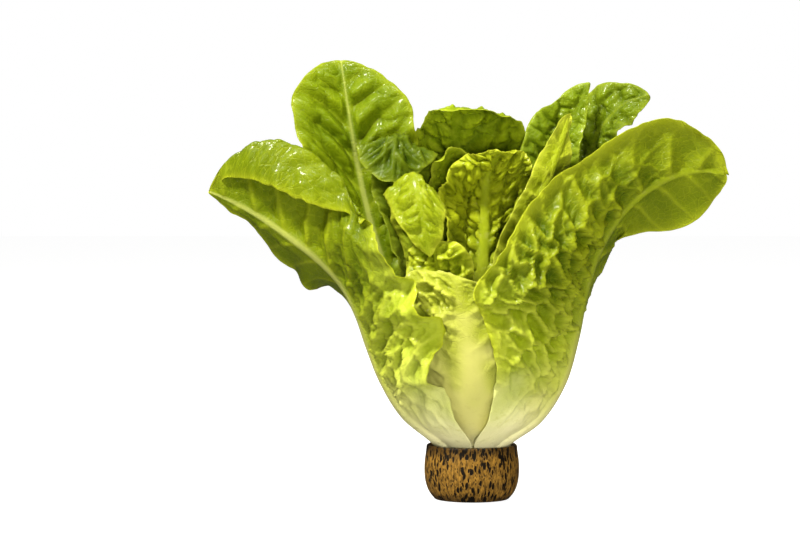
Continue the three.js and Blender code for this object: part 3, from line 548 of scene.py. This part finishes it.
class Blade:
    """A leaf's middle surface on a grid, and the ways over it in mm.

    t goes from the base (0) to the tip (1), and u from margin b (-1) over the rib (0) to margin a (1). s is
    the way along the rib, d the signed way across from it, margin the way to the edge, and path the way
    along the margin on that side. The rows crowd to the tip as 1 - (1 - x)^1.45.
    """

    def __init__(self, name):
        self.leaf = LEAVES[name]
        self.look = {**PLAIN_RELIEF, **RELIEF.get(name, {})}
        self.seed = 1 + list(LEAVES).index(name)
        lines, tip = control_lines(self.leaf), self.leaf["tip"]
        coarse = sheet(lines, tip, np.linspace(0, 0.98, 60), np.linspace(-1, 1, 41))
        rows = int(ROWS_PER_STEP * gaps(coarse[:, 20], 0).sum() / STEP)
        middle = int(gaps(coarse, 1).sum(1).max() / STEP / 2)
        t = 1 - (1 - np.linspace(0, 1, rows)) ** ROWS_CROWDED_TO_TIP
        u = np.linspace(-1, 1, 2 * middle + 1)
        p = sheet(lines, tip, t, u)
        self.normals = sheet_normals(lines, tip, t, u)
        self.t, self.u = t[:, None], u[None, :]
        self.s = np.repeat(way(p[:, middle])[:, None], len(u), 1)
        d = np.concatenate([np.zeros((rows, 1)), np.cumsum(gaps(p, 1), 1)], 1)
        self.d = d - d[:, middle : middle + 1]
        self.away = np.abs(self.d)
        self.side = np.sign(self.u) * np.ones_like(d)
        margin = np.where(self.u > 0, self.d[:, -1:] - self.d, self.d - self.d[:, :1])
        self.margin = np.minimum(margin, (self.s[-1, 0] - self.s) * 1.2 + 0.01)
        self.path = np.where(self.side > 0, way(p[:, -1])[:, None], way(p[:, 0])[:, None])
        self.points = p

        # How the relief fades to base and tip, and the rib's half width, narrowing as (1 - t)^1.1
        self.grown = smooth(*self.look["bare"], self.t)
        self.end = np.clip((1 - self.t) / WAVE_ENDS_OVER, 0, 1) ** 0.5
        self.rib_half = self.leaf.get("rib_wide", RIB_HALF_WIDTH) * (1 - self.t) ** 1.1 + 1.2

    def by_side(self, key):
        """A setting of the look that is given for margin b and margin a, over the grid."""
        on_b, on_a = self.look[key]
        return np.where(self.side > 0, on_a, on_b)


def broad_waves(blade):
    """The middle surface with the broad waves of its margins, the same as in the solid: a long sine wave and
    a shorter one on it, growing to the margin as |u|^2.2."""
    leaf, t, p = blade.leaf, blade.t, blade.points
    for sign, letter, shift in ((1, "a", MARGIN_WAVE_SHIFT), (-1, "b", 0.0)):
        amount = along(leaf.get("ruffle_" + letter, leaf.get("ruffle")), t)
        x = 2 * np.pi * (leaf["waves"] * t + leaf["phase"] + shift)
        wave = np.sin(x) + RIPPLE_HEIGHT * np.sin(RIPPLE_PACE * x + RIPPLE_SHIFT)
        fade = np.clip(t / WAVE_STARTS_BY, 0, 1) ** 2 * blade.end
        lift = amount * wave * fade * np.clip(sign * blade.u, 0, 1) ** MARGIN_WAVE_POWER
        p = p + lift[..., None] * blade.normals
    return p


def side_veins(blade):
    """How many side veins lie below a point, the way to the nearest one, and its line as e^-(way / width)^2.

    A vein leaves the rib forwards and bends up with the square of the way from it. Both sides take turns.
    """
    s, away = blade.s, blade.away
    forward = s - VEIN_LEAN * away - VEIN_BEND * away**2 + VEIN_WANDER * noise(s / 17, away / 14, blade.seed)
    count = forward / SIDE_VEINS + 0.5 * (blade.side > 0) + 0.13 * blade.seed
    off_vein = np.abs(count - np.round(count)) * SIDE_VEINS * 0.8
    width = VEIN_THIN + VEIN_THICKER * np.exp(-away / 28)
    return count, off_vein, np.exp(-((off_vein / width) ** 2))


def blisters(blade, count):
    """Domes of two sizes, each 1 - e^(-3.2 gap) over cells laid along the side veins, and the big gap."""
    away, seed, cell = blade.away, blade.seed, blade.look["cell"]
    x, y = count * SIDE_VEINS + 0.3 * away, away + 40 * blade.side
    bend = 0.22 * noise(x / 8, y / 8, seed + 20), 0.22 * noise(x / 8, y / 8, seed + 21)
    gap = crease_gap(x / cell + bend[0], y / (CELL_STRETCH * cell) + bend[1], seed)
    small_gap = crease_gap(SMALL_CELLS[0] * x / cell + 3, SMALL_CELLS[1] * y / cell, seed + 11)
    return 1 - np.exp(-DOME_STEEPNESS * gap), 1 - np.exp(-DOME_STEEPNESS * small_gap), gap


def blade_relief(blade, puff, room, off_rib, big, small, between, vein):
    """Height in mm of the blisters, a broad unevenness and the bulges between the side veins.

    The domes are added up and lowered, so that creases lie below the sheet. Bulges are sin^2 between veins
    and fade from the rib as e^(-away / 70).
    """
    s, d, away, seed = blade.s, blade.d, blade.away, blade.seed
    domes = VEIN_DOME * between * (0.5 + 0.5 * np.exp(-away / 60)) + BIG_DOME * big + SMALL_DOME * small
    relief = puff * room * (domes - CREASE_DEPTH)
    relief = relief + 0.5 * room * noise(s / 22, d / 22, seed + 3)
    fold = blade.look["fold"] * (0.7 + 0.5 * noise(s / 26, d / 26, seed + 9)) * between - 0.8 * vein
    bulges = fold * blade.by_side("calm") * blade.grown * off_rib * blade.end
    relief = relief + bulges * np.exp(-away / 70) * smooth(0, 10, blade.margin)
    return np.maximum(relief, HOLLOW_RATE * relief - HOLLOW_SHIFT)


def margin_relief(blade, relief):
    """The relief in mm with the small ruffles, two sines along the margin, less the rolled or tucked edge.

    The edge turns as (1 - margin / 16 mm)^2: to the outer face on the upper leaf, to the inner one below.
    """
    path, side, margin, seed = blade.path, blade.side, blade.margin, blade.seed
    curl = np.exp(-margin / CURL_OVER) * np.abs(blade.u) ** 1.5
    ruffle = np.sin(path / 3.4 + 2 * noise(path / 23, side, seed))
    ruffle = ruffle * (0.9 + 0.8 * noise(path / 31, side, seed + 1))
    ruffle = ruffle + 0.5 * np.sin(path / 1.5 + 3 * noise(path / 15, side, seed + 2))
    upper = smooth(0.34, 0.56, blade.t)
    turned = blade.by_side("roll") * upper - blade.by_side("tuck") * (1 - upper)
    turned = turned * np.clip(1 - margin / ROLL_OVER, 0, 1) ** 2
    relief = relief + blade.by_side("frill") * RUFFLE_HEIGHT * curl * ruffle * blade.grown
    return relief - turned * blade.grown * np.abs(blade.u)


def outward_ways(blade, waved, raised):
    """Unit vectors in the sheet towards the nearer margin, square to the margin's own line."""
    side = blade.side[..., None]
    outward = unit(np.gradient(waved, axis=1)) * side
    for column, sign in ((0, -1), (-1, 1)):
        square = unit(np.cross(np.gradient(raised[:, column], axis=0), blade.normals[:, column]))
        square = square * np.sign((square * outward[:, column]).sum(-1, keepdims=True) + 1e-9)
        outward = np.where(side == sign, square[:, None], outward)
    return outward


def teeth(blade):
    """The way in mm that the margin moves in or out: noise of two lengths, fading inwards and at the tip."""
    out = sum(
        noise(blade.path / length, blade.side, blade.seed + 7 + i) * height
        for i, (length, height) in enumerate(TEETH_HEIGHTS)
    )
    out = out * np.clip((1 - blade.t) / 0.03, 0, 1)
    out = np.exp(-blade.margin / TEETH_OVER) * out * (0.3 + 0.6 * blade.by_side("frill"))
    return out * blade.grown * np.abs(blade.u)


def two_faces(blade, points, vein):
    """The inner and outer face, half a blade to each side and thinner at the edge. The rib stands out on the
    outer face as a half ellipse whose depth falls as (1 - t)^1.3, and the side veins as low lines."""
    t, away, margin = blade.t, blade.away, blade.margin
    face = unit(np.cross(np.gradient(points, axis=0), np.gradient(points, axis=1)))
    face = np.where((face * blade.normals).sum(-1, keepdims=True) < 0, blade.normals, face)
    face[-1] = unit(face[-2].mean(0))
    depth = (blade.leaf.get("rib_depth", RIB_DEPTH) * (1 - t) ** 1.3 + 0.4) * blade.look["ridge"]
    bump = depth * np.sqrt(np.clip(1 - (away / blade.rib_half) ** 2, 0, 1))
    bump = np.maximum(bump, VEIN_RELIEF * vein * blade.grown * np.exp(-away / 45))
    thin = BLADE * (0.35 + 0.65 * smooth(0, 2.5, margin))
    inner = points + face * (thin / 2)[..., None]
    outer = points - face * (thin / 2 + bump * smooth(0, 3, margin))[..., None]
    return inner, outer


def colour_fields(blade, vein, crease):
    """What the leaf's material reads, each from 0 to 1: the pale base and rib, the lines of veins and
    creases, the bright edge, partly a painted glow of light through the thin margin, the height on the
    leaf, lower at young margins, and broad patches of noise."""
    t, s, d, away, seed, look = blade.t, blade.s, blade.d, blade.away, blade.seed, blade.look
    across = np.abs(blade.u)
    wide, strong = look["rib"]
    rib_pale = strong * (1 - smooth(0.45, 1.25 + 0.9 * (1 - t), away / (wide * blade.rib_half)))
    clouds = look["clouds"] * noise(s / 12, d / 12, seed + 4) + 0.05 * across - 0.02
    base_pale = 1 - smooth(*look["pale"], t + clouds)
    vein_line = vein * (0.35 + 0.65 * np.exp(-away / 60)) * (1 - 0.5 * smooth(0.6, 1.0, t))
    return dict(
        pale=np.clip(np.maximum(rib_pale * (1 - 0.35 * t), base_pale), 0, 1),
        vein=np.maximum(vein_line, 0.55 * crease),
        # rim, the bright edge: the margin's paler green with a painted glow of light through the thin edge
        rim=np.exp(-blade.margin / blade.by_side("band")) * blade.grown,
        height=t - blade.by_side("young") * smooth(0.35, 1.0, across),
        patch=0.5 + 0.35 * noise(s / 24, d / 24, seed + 6) + 0.35 * noise(s / 70, d / 50, seed + 10),
    )


def leaf_mesh(name):
    """The leaf's closed mesh: waves, relief and teeth on the middle surface, then the two faces and fields.

    room is where blisters may rise: off the rib, off the edge and off base and tip.
    """
    blade = Blade(name)
    count, off_vein, vein = side_veins(blade)
    big, small, gap = blisters(blade, count)
    between = np.sin(np.pi * np.clip(off_vein / (0.4 * SIDE_VEINS), 0, 1) / 2) ** 2
    off_rib = smooth(0.8, 1.8, blade.away / blade.rib_half)
    puff = along(blade.look["puff"], blade.t)
    room = blade.by_side("calm") * blade.grown * off_rib
    room = room * (0.3 + 0.7 * smooth(0, 14, blade.margin)) * blade.end

    waved = broad_waves(blade)
    relief = margin_relief(blade, blade_relief(blade, puff, room, off_rib, big, small, between, vein))
    raised = waved + relief[..., None] * blade.normals
    points = raised + teeth(blade)[..., None] * outward_ways(blade, waved, raised)
    inner, outer = two_faces(blade, points, vein)

    crease = np.exp(-((gap / CREASE_WIDTH) ** 2)) * np.clip(room * puff, 0, 1)
    # Painted shade and light: high on the domes of the inner face and low in its creases; the outer face
    # takes the reverse.
    domes = np.clip(0.6 * big + 0.25 * small + 0.25 * between, 0, 1)
    painted_shade = 0.5 + (domes - 0.5) * np.clip(room * puff, 0, 1.3)
    fields = colour_fields(blade, vein, crease)
    return closed_mesh("leaf_" + name, inner, outer, fields, painted_shade, np.stack([blade.d, blade.s], -1))


def shade_smooth(mesh):
    mesh.polygons.foreach_set("use_smooth", np.ones(len(mesh.polygons), dtype=bool))


def put_uv(mesh, name, uv):
    layer = mesh.uv_layers.new(name=name)
    layer.data.foreach_set("uv", uv.astype(np.float32).ravel())


def put_attribute(mesh, name, values):
    attribute = mesh.attributes.new(name, "FLOAT", "POINT")
    attribute.data.foreach_set("value", values.astype(np.float32))


def closed_mesh(name, inner, outer, fields, painted_shade, uv):
    """One closed mesh of the two faces, joined round the margin; the last row is the tip.

    The painted shade is high, as painted light, on the domes of the inner face, which are the hollows of the
    outer face; the outer face takes the reverse, so its hollows are painted dark. UV is the way over
    the sheet in decimetres.
    """
    rows, columns = inner.shape[:2]
    index = np.arange(rows * columns).reshape(rows, columns)
    a, b, c, d = index[:-1, :-1], index[:-1, 1:], index[1:, 1:], index[1:, :-1]
    inner_quads = np.stack([a, d, c, b], -1).reshape(-1, 4)
    outer_quads = np.stack([a, b, c, d], -1).reshape(-1, 4) + rows * columns
    loop = np.concatenate([index[0], index[1:, -1], index[-1, -2::-1], index[-2:0:-1, 0]])
    after = np.roll(loop, -1)
    rim_quads = np.stack([loop, after, after + rows * columns, loop + rows * columns], -1)
    quads = np.concatenate([inner_quads, outer_quads, rim_quads])
    points = np.concatenate([inner.reshape(-1, 3), outer.reshape(-1, 3)]) * MM

    mesh = bpy.data.meshes.new(name)
    mesh.vertices.add(len(points))
    mesh.vertices.foreach_set("co", points.astype(np.float32).ravel())
    mesh.loops.add(quads.size)
    mesh.loops.foreach_set("vertex_index", quads.astype(np.int32).ravel())
    mesh.polygons.add(len(quads))
    mesh.polygons.foreach_set("loop_start", np.arange(0, quads.size, 4, dtype=np.int32))
    mesh.update(calc_edges=True)
    shade_smooth(mesh)
    put_uv(mesh, "sheet", np.concatenate([uv.reshape(-1, 2)] * 2)[quads.ravel()] / 100.0)
    for key, value in fields.items():
        put_attribute(mesh, key, np.tile(value.ravel(), 2))
    put_attribute(mesh, "painted_shade", np.concatenate([painted_shade.ravel(), 1 - painted_shade.ravel()]))
    return mesh


class Shader:
    """A short way to write the node tree of a material or a world."""

    def __init__(self, block, output="ShaderNodeOutputMaterial"):
        self.block = block
        block.use_nodes = True
        self.tree = block.node_tree
        self.tree.nodes.clear()
        self.out = self.tree.nodes.new(output)

    def node(self, kind, inputs=None, **settings):
        made = self.tree.nodes.new(kind)
        for key, value in settings.items():
            setattr(made, key, value)
        for key, value in (inputs or {}).items():
            self.put(made.inputs[key], value)
        return made

    def put(self, socket, value):
        if isinstance(value, bpy.types.NodeSocket):
            self.tree.links.new(value, socket)
        elif isinstance(value, tuple) and len(value) == 3 and socket.type == "RGBA":
            socket.default_value = (*value, 1)
        else:
            socket.default_value = value

    def math(self, operation, first, second=0.5, clamp=False):
        made = self.node("ShaderNodeMath", {0: first, 1: second}, operation=operation, use_clamp=clamp)
        return made.outputs[0]

    def times(self, first, second):
        return self.math("MULTIPLY", first, second)

    def mix(self, share, first, second):
        return self.node("ShaderNodeMix", {0: share, 6: first, 7: second}, data_type="RGBA").outputs[2]

    def attribute(self, name):
        return self.node("ShaderNodeAttribute", attribute_name=name).outputs["Fac"]

    def place(self, output):
        return self.node("ShaderNodeTexCoord").outputs[output]

    def span(self, value, low, high, to_low=0.0, to_high=1.0):
        """to_low below low, to_high above high, eased between."""
        ranges = {"Value": value, "From Min": low, "From Max": high, "To Min": to_low, "To Max": to_high}
        return self.node("ShaderNodeMapRange", ranges, interpolation_type="SMOOTHSTEP").outputs[0]

    def noise(self, place, **inputs):
        return self.node("ShaderNodeTexNoise", {"Vector": place, **inputs})

    def cells(self, place, **settings):
        inputs = {"Vector": place, "Scale": settings.pop("scale")}
        return self.node("ShaderNodeTexVoronoi", inputs, **settings).outputs["Distance"]

    def finish(self, shader):
        self.put(self.out.inputs["Surface"], shader.outputs[0])
        return self.block


def leaf_material(name, deep, light, rim, rib=OLIVE_RIB_AND_SHADE):
    """Green blade, deep to light by painted shade and light, dark in the creases and hollows and light on
    the domes, and by patches and a fine mottle, and yellow-green low down, with paler veins and net and a
    bright margin, partly a painted glow of light through the thin edge. The stalk goes from cream over pale
    green to the rib's colour.
    """
    s = Shader(bpy.data.materials.new("leaf_" + name))
    place = s.place("UV")
    net_line = s.span(s.cells(place, scale=24.0, feature="DISTANCE_TO_EDGE"), 0.0, 0.09, 1.0, 0.0)
    fine_line = s.span(s.cells(place, scale=62.0, feature="DISTANCE_TO_EDGE"), 0.0, 0.10, 1.0, 0.0)
    mottle = s.noise(place, Scale=9.0, Detail=4.0).outputs[0]
    grain = s.noise(place, Scale=70.0, Detail=3.0).outputs[0]
    smudge = s.noise(place, Scale=15.0, Detail=5.0, Roughness=0.7).outputs[0]
    pale, height = s.attribute("pale"), s.attribute("height")

    # Painted shade and light from the domes and creases, with random mottle and broad patches, choose
    # between the deep and the light green.
    tone_and_painted_shade = s.math("ADD", s.times(mottle, 0.35), s.times(s.attribute("patch"), 0.55))
    tone_and_painted_shade = s.math("ADD", tone_and_painted_shade, s.times(s.span(s.attribute("painted_shade"), 0.1, 0.9), 0.75))
    tone_and_painted_shade = s.math("SUBTRACT", tone_and_painted_shade, 0.32, clamp=True)
    young = s.span(height, low=0.26, high=0.56, to_low=0.95, to_high=0.0)
    blade = s.mix(tone_and_painted_shade, s.mix(young, deep, YOUNG_DEEP), s.mix(young, light, YOUNG_LIGHT))
    veins = s.math("MAXIMUM", s.times(s.attribute("vein"), 0.70), s.times(net_line, 0.28))
    veins = s.math("MAXIMUM", veins, s.times(fine_line, 0.14), clamp=True)
    blade = s.mix(s.times(veins, 0.7), blade, rim)
    # The bright edge: the margin's paler green with a painted glow of light through the thin edge.
    blade = s.mix(s.times(s.attribute("rim"), 0.85), blade, rim)
    stalk = s.mix(s.span(height, 0.08, 0.30), CREAM, PALE_GREEN)
    stalk = s.mix(s.span(height, 0.22, 0.46), stalk, rib)
    stalk = s.mix(s.span(smudge, 0.50, 0.78, to_high=0.6), stalk, SMUDGE)
    colour = s.mix(pale, blade, stalk)

    raised = s.math("ADD", s.times(net_line, -0.8), s.times(fine_line, -0.3))
    raised = s.math("ADD", raised, s.times(grain, 0.9))
    raised = s.times(raised, s.span(pale, 0.2, 0.9, to_low=1.0, to_high=0.25))
    bump = s.node("ShaderNodeBump", {"Height": raised, "Strength": 0.6, "Distance": 0.0004}).outputs[0]
    look = {
        "Base Color": colour,
        "Roughness": s.span(grain, 0.35, 0.65, to_low=0.28, to_high=0.44),
        "IOR": 1.34,
        "Specular IOR Level": 0.25,
        "Coat Weight": 0.25,
        "Coat Roughness": 0.12,
        "Coat IOR": 1.35,
        "Normal": bump,
    }
    body = s.node("ShaderNodeBsdfPrincipled", look).outputs[0]
    shining = {"Color": s.mix(0.4, colour, SHINING_THROUGH), "Normal": bump}
    through = s.node("ShaderNodeBsdfTranslucent", shining).outputs[0]
    sheer = s.span(pale, 0.0, 1.0, to_low=0.26, to_high=0.06)
    return s.finish(s.node("ShaderNodeMixShader", {0: sheer, 1: body, 2: through}))


def wood_material():
    """Orange-brown palm wood with dense short dark upright flecks of two sizes, more of them at its ends,
    where the wood is also darkened towards the rim and the foot as painted shade.
    """
    s = Shader(bpy.data.materials.new("palm_wood"))
    place = s.place("UV")
    wide = s.node("ShaderNodeMapping", {"Vector": place, "Scale": (44.0, 15.0, 1.0)}).outputs[0]
    thin = s.node("ShaderNodeMapping", {"Vector": place, "Scale": (90.0, 32.0, 1.0)}).outputs[0]
    grain = s.noise(wide, Scale=1.2, Detail=6.0, Roughness=0.7).outputs[0]
    bent = s.noise(wide, Scale=1.1, Detail=3.0).outputs["Color"]
    bent = s.node("ShaderNodeVectorMath", {0: bent, 1: (1.2, 0.8, 0.0)}, operation="MULTIPLY").outputs[0]
    ragged = s.node("ShaderNodeVectorMath", {0: wide, 1: bent}, operation="ADD").outputs[0]
    height = s.node("ShaderNodeSeparateXYZ", {0: s.place("Object")}).outputs["Z"]
    ends_flecks_and_shade = s.math("ADD", s.span(height, 0.027, 0.035), s.span(height, 0.006, 0.0005), clamp=True)

    near = s.math("SUBTRACT", s.cells(ragged, scale=1.0), s.times(ends_flecks_and_shade, 0.06))
    big = s.span(near, 0.35, 0.40, 1.0, 0.0)
    small = s.span(s.cells(thin, scale=1.0), 0.27, 0.33, 1.0, 0.0)
    flecks = s.math("MAXIMUM", big, s.times(small, 0.8), clamp=True)
    wood = s.mix(s.span(grain, 0.3, 0.7), (0.05, 0.024, 0.003), (0.275, 0.142, 0.020))
    # Painted shade: the wood darkens towards the rim and the foot.
    wood = s.mix(s.times(ends_flecks_and_shade, 0.7), wood, (0.035, 0.018, 0.005))
    colour = s.mix(flecks, wood, (0.006, 0.004, 0.002))
    relief = {"Height": flecks, "Strength": 0.6, "Distance": 0.0004}
    bump = s.node("ShaderNodeBump", relief, invert=True).outputs[0]
    look = {"Base Color": colour, "Roughness": 0.5, "IOR": 1.30, "Normal": bump}
    return s.finish(s.node("ShaderNodeBsdfPrincipled", look))


def stem_material():
    """Cream-white with soft clouds."""
    s = Shader(bpy.data.materials.new("stem"))
    cloud = s.noise(s.place("Object"), Scale=160.0, Detail=4.0).outputs[0]
    colour = s.mix(cloud, (0.62, 0.58, 0.30), (0.86, 0.84, 0.58))
    return s.finish(s.node("ShaderNodeBsdfPrincipled", {"Base Color": colour, "Roughness": 0.5}))


def rounded(points, turns=2):
    """Corners of a profile cut twice (Chaikin), with both ends kept."""
    p = np.array(points, float)
    for _ in range(turns):
        cut = np.stack([0.75 * p[:-1] + 0.25 * p[1:], 0.25 * p[:-1] + 0.75 * p[1:]], 1).reshape(-1, 2)
        p = np.concatenate([p[:1], cut[1:-1], p[-1:]])
    return p


def turned_mesh(name, profile, columns):
    """A profile of (radius, height) in mm turned about the axis: (r cos a, r sin a, h).

    UV is the way round at a radius of 30 mm and the way up the profile, in decimetres.
    """
    profile = np.array(profile, float)
    angle = np.linspace(0, 2 * np.pi, columns, endpoint=False)
    radius, height = profile[:, :1], np.repeat(profile[:, 1:], columns, 1)
    points = np.stack([radius * np.cos(angle), radius * np.sin(angle), height], -1)
    index = np.arange(len(profile) * columns).reshape(len(profile), columns)
    around = np.roll(index, -1, 1)
    quads = np.stack([index[:-1], around[:-1], around[1:], index[1:]], -1).reshape(-1, 4)
    mesh = bpy.data.meshes.new(name)
    mesh.from_pydata((points.reshape(-1, 3) * MM).tolist(), [], quads.tolist())
    shade_smooth(mesh)

    # Each face keeps its corners in order, so its first and last corners lie on its own column, and the
    # other two on the next one, which is column 0 at the seam.
    row, column = quads // columns, quads % columns
    column[:, 1:3] = column[:, :1] + 1
    around_way = column / columns * 2 * np.pi * UV_RADIUS * MM * 10
    up_way = (way(profile) * MM * 10)[row]
    put_uv(mesh, "turned", np.stack([around_way, up_way], -1))
    return mesh


UV_RADIUS = 30
CUP_COLUMNS = 192
STEM_COLUMNS = 64
CUP = [
    (0.02, 0.3), (23.4, 0.2), (24.6, 0.9), (28, 5), (30.2, 11), (31, 18), (30.8, 25), (30.0, 30.5),
    (29.7, 33), (29.6, 35), (28.9, 36), (28.0, 36.0), (27.0, 35.2), (26.6, 33), (26.4, 20), (19, 7.1),
    (0.02, 7.1),
]
STEM = [
    (0.02, 7.4), (12.8, 7.4), (14.9, 9.5), (14.9, 16.5), (13, 20), (10, 21.5), (9.8, 28), (8.2, 36),
    (7.6, 46), (6.5, 54), (4.6, 61), (2.5, 66), (0.02, 66.9),
]

INNER_LEAVES = (
    "folded_left", "nodding_left", "inner_right", "centre", "inner_front", "inner_back", "inner_left",
)
SLOTS = {name: "outer_leaf" for name in LEAVES}
SLOTS.update({name: "inner_leaf" for name in INNER_LEAVES})
SLOTS.update(front="front_leaf", cup="palm_wood", stem="stem")


def new_object(name, data):
    made = bpy.data.objects.new(name, data)
    bpy.context.scene.collection.objects.link(made)
    return made


def add(mesh, material, node):
    """A piece of this mesh that stands for a CAD node, with its material, hiding the node's own part."""
    piece = new_object(mesh.name, mesh)
    mesh.materials.append(material)
    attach(piece, "root")
    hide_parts(node)


# The studio, in metres and watts: a white room and floor, and soft warm lights
ROOM_GLOW = 0.075
ROOM_IN_GLOSS = 0.07
FLOOR_HALF = 6
FLOOR_GREY = 0.34
FLOOR_GLOW = 0.95
WARM_WHITE = (1.0, 0.965, 0.86)
HEAD_MIDDLE = (0.0, 0.0, 0.15)
CUP_TOP = (0.0, 0.0, 0.06)
CAMERA_PLACE = (-0.0468, -1.8, 0.2231)
CAMERA_TARGET = (-0.0468, 0, 0.1518)
CAMERA_LENS = 124.6


def white_room():
    """A world that the camera sees white and that lights the head only a little."""
    s = Shader(bpy.data.worlds.new("white_room"), "ShaderNodeOutputWorld")
    seen = s.node("ShaderNodeLightPath")
    strength = s.span(seen.outputs["Is Glossy Ray"], 0.0, 1.0, ROOM_GLOW, ROOM_IN_GLOSS)
    strength = s.span(seen.outputs["Is Camera Ray"], 0.0, 1.0, strength, 1.0)
    return s.finish(s.node("ShaderNodeBackground", {"Color": (1.0, 1.0, 1.0), "Strength": strength}))


def white_floor():
    """A grey diffuse floor that glows white for the camera only, and that gloss doesn't show."""
    mesh = bpy.data.meshes.new("floor")
    corners = [(x * FLOOR_HALF, y * FLOOR_HALF, 0) for x, y in ((-1, -1), (1, -1), (1, 1), (-1, 1))]
    mesh.from_pydata(corners, [], [(0, 1, 2, 3)])
    floor = new_object("floor", mesh)
    s = Shader(bpy.data.materials.new("floor_white"))
    grey = s.node("ShaderNodeBsdfDiffuse", {"Color": (FLOOR_GREY,) * 3}).outputs[0]
    seen = s.node("ShaderNodeLightPath").outputs["Is Camera Ray"]
    glow = {"Color": (1.0, 1.0, 1.0), "Strength": s.times(seen, FLOOR_GLOW)}
    glow = s.node("ShaderNodeEmission", glow).outputs[0]
    mesh.materials.append(s.finish(s.node("ShaderNodeAddShader", {0: grey, 1: glow})))
    floor.visible_glossy = False


def aimed(name, data, place, target):
    """An object at a place that looks at a target."""
    holder = new_object(name, data)
    holder.location = place
    holder.rotation_euler = (Vector(target) - Vector(place)).to_track_quat("-Z", "Y").to_euler()
    return holder


def soft_light(name, place, size, power, target=HEAD_MIDDLE, mirrored=True):
    lamp = bpy.data.lights.new(name, "AREA")
    lamp.color = WARM_WHITE
    lamp.size = size
    lamp.energy = power
    aimed(name, lamp, place, target).visible_glossy = mirrored


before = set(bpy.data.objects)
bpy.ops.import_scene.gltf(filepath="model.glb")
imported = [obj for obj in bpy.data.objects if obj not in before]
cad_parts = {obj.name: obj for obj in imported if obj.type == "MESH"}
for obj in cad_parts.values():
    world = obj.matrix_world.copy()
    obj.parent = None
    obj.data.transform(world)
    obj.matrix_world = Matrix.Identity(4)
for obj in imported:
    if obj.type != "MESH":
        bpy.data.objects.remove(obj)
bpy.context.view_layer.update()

for leaf_name in LEAVES:
    look = leaf_material(leaf_name, *TONES[leaf_name], RIBS.get(leaf_name, OLIVE_RIB_AND_SHADE))
    add(leaf_mesh(leaf_name), look, leaf_name)
add(turned_mesh("cup_wood", rounded(CUP), CUP_COLUMNS), wood_material(), "cup")
add(turned_mesh("stem_core", rounded(STEM), STEM_COLUMNS), stem_material(), "stem")

bpy.context.scene.world = white_room()
white_floor()
soft_light("key", (-0.8, -0.85, 1.45), 0.28, 69)
soft_light("top", (0.1, -0.25, 1.9), 0.4, 17)
soft_light("front", (0.1, -1.4, 0.06), 0.3, 18, CUP_TOP, mirrored=False)
soft_light("fill", (1.0, -1.3, 0.4), 0.5, 8, mirrored=False)
soft_light("rim", (0.5, 1.5, 0.9), 0.6, 22, mirrored=False)

camera = bpy.data.cameras.new("camera")
camera.lens = CAMERA_LENS
camera.sensor_width = 36
camera.clip_start = 0.05
bpy.context.scene.camera = aimed("camera", camera, CAMERA_PLACE, CAMERA_TARGET)
bpy.context.scene.view_settings.view_transform = "Standard"
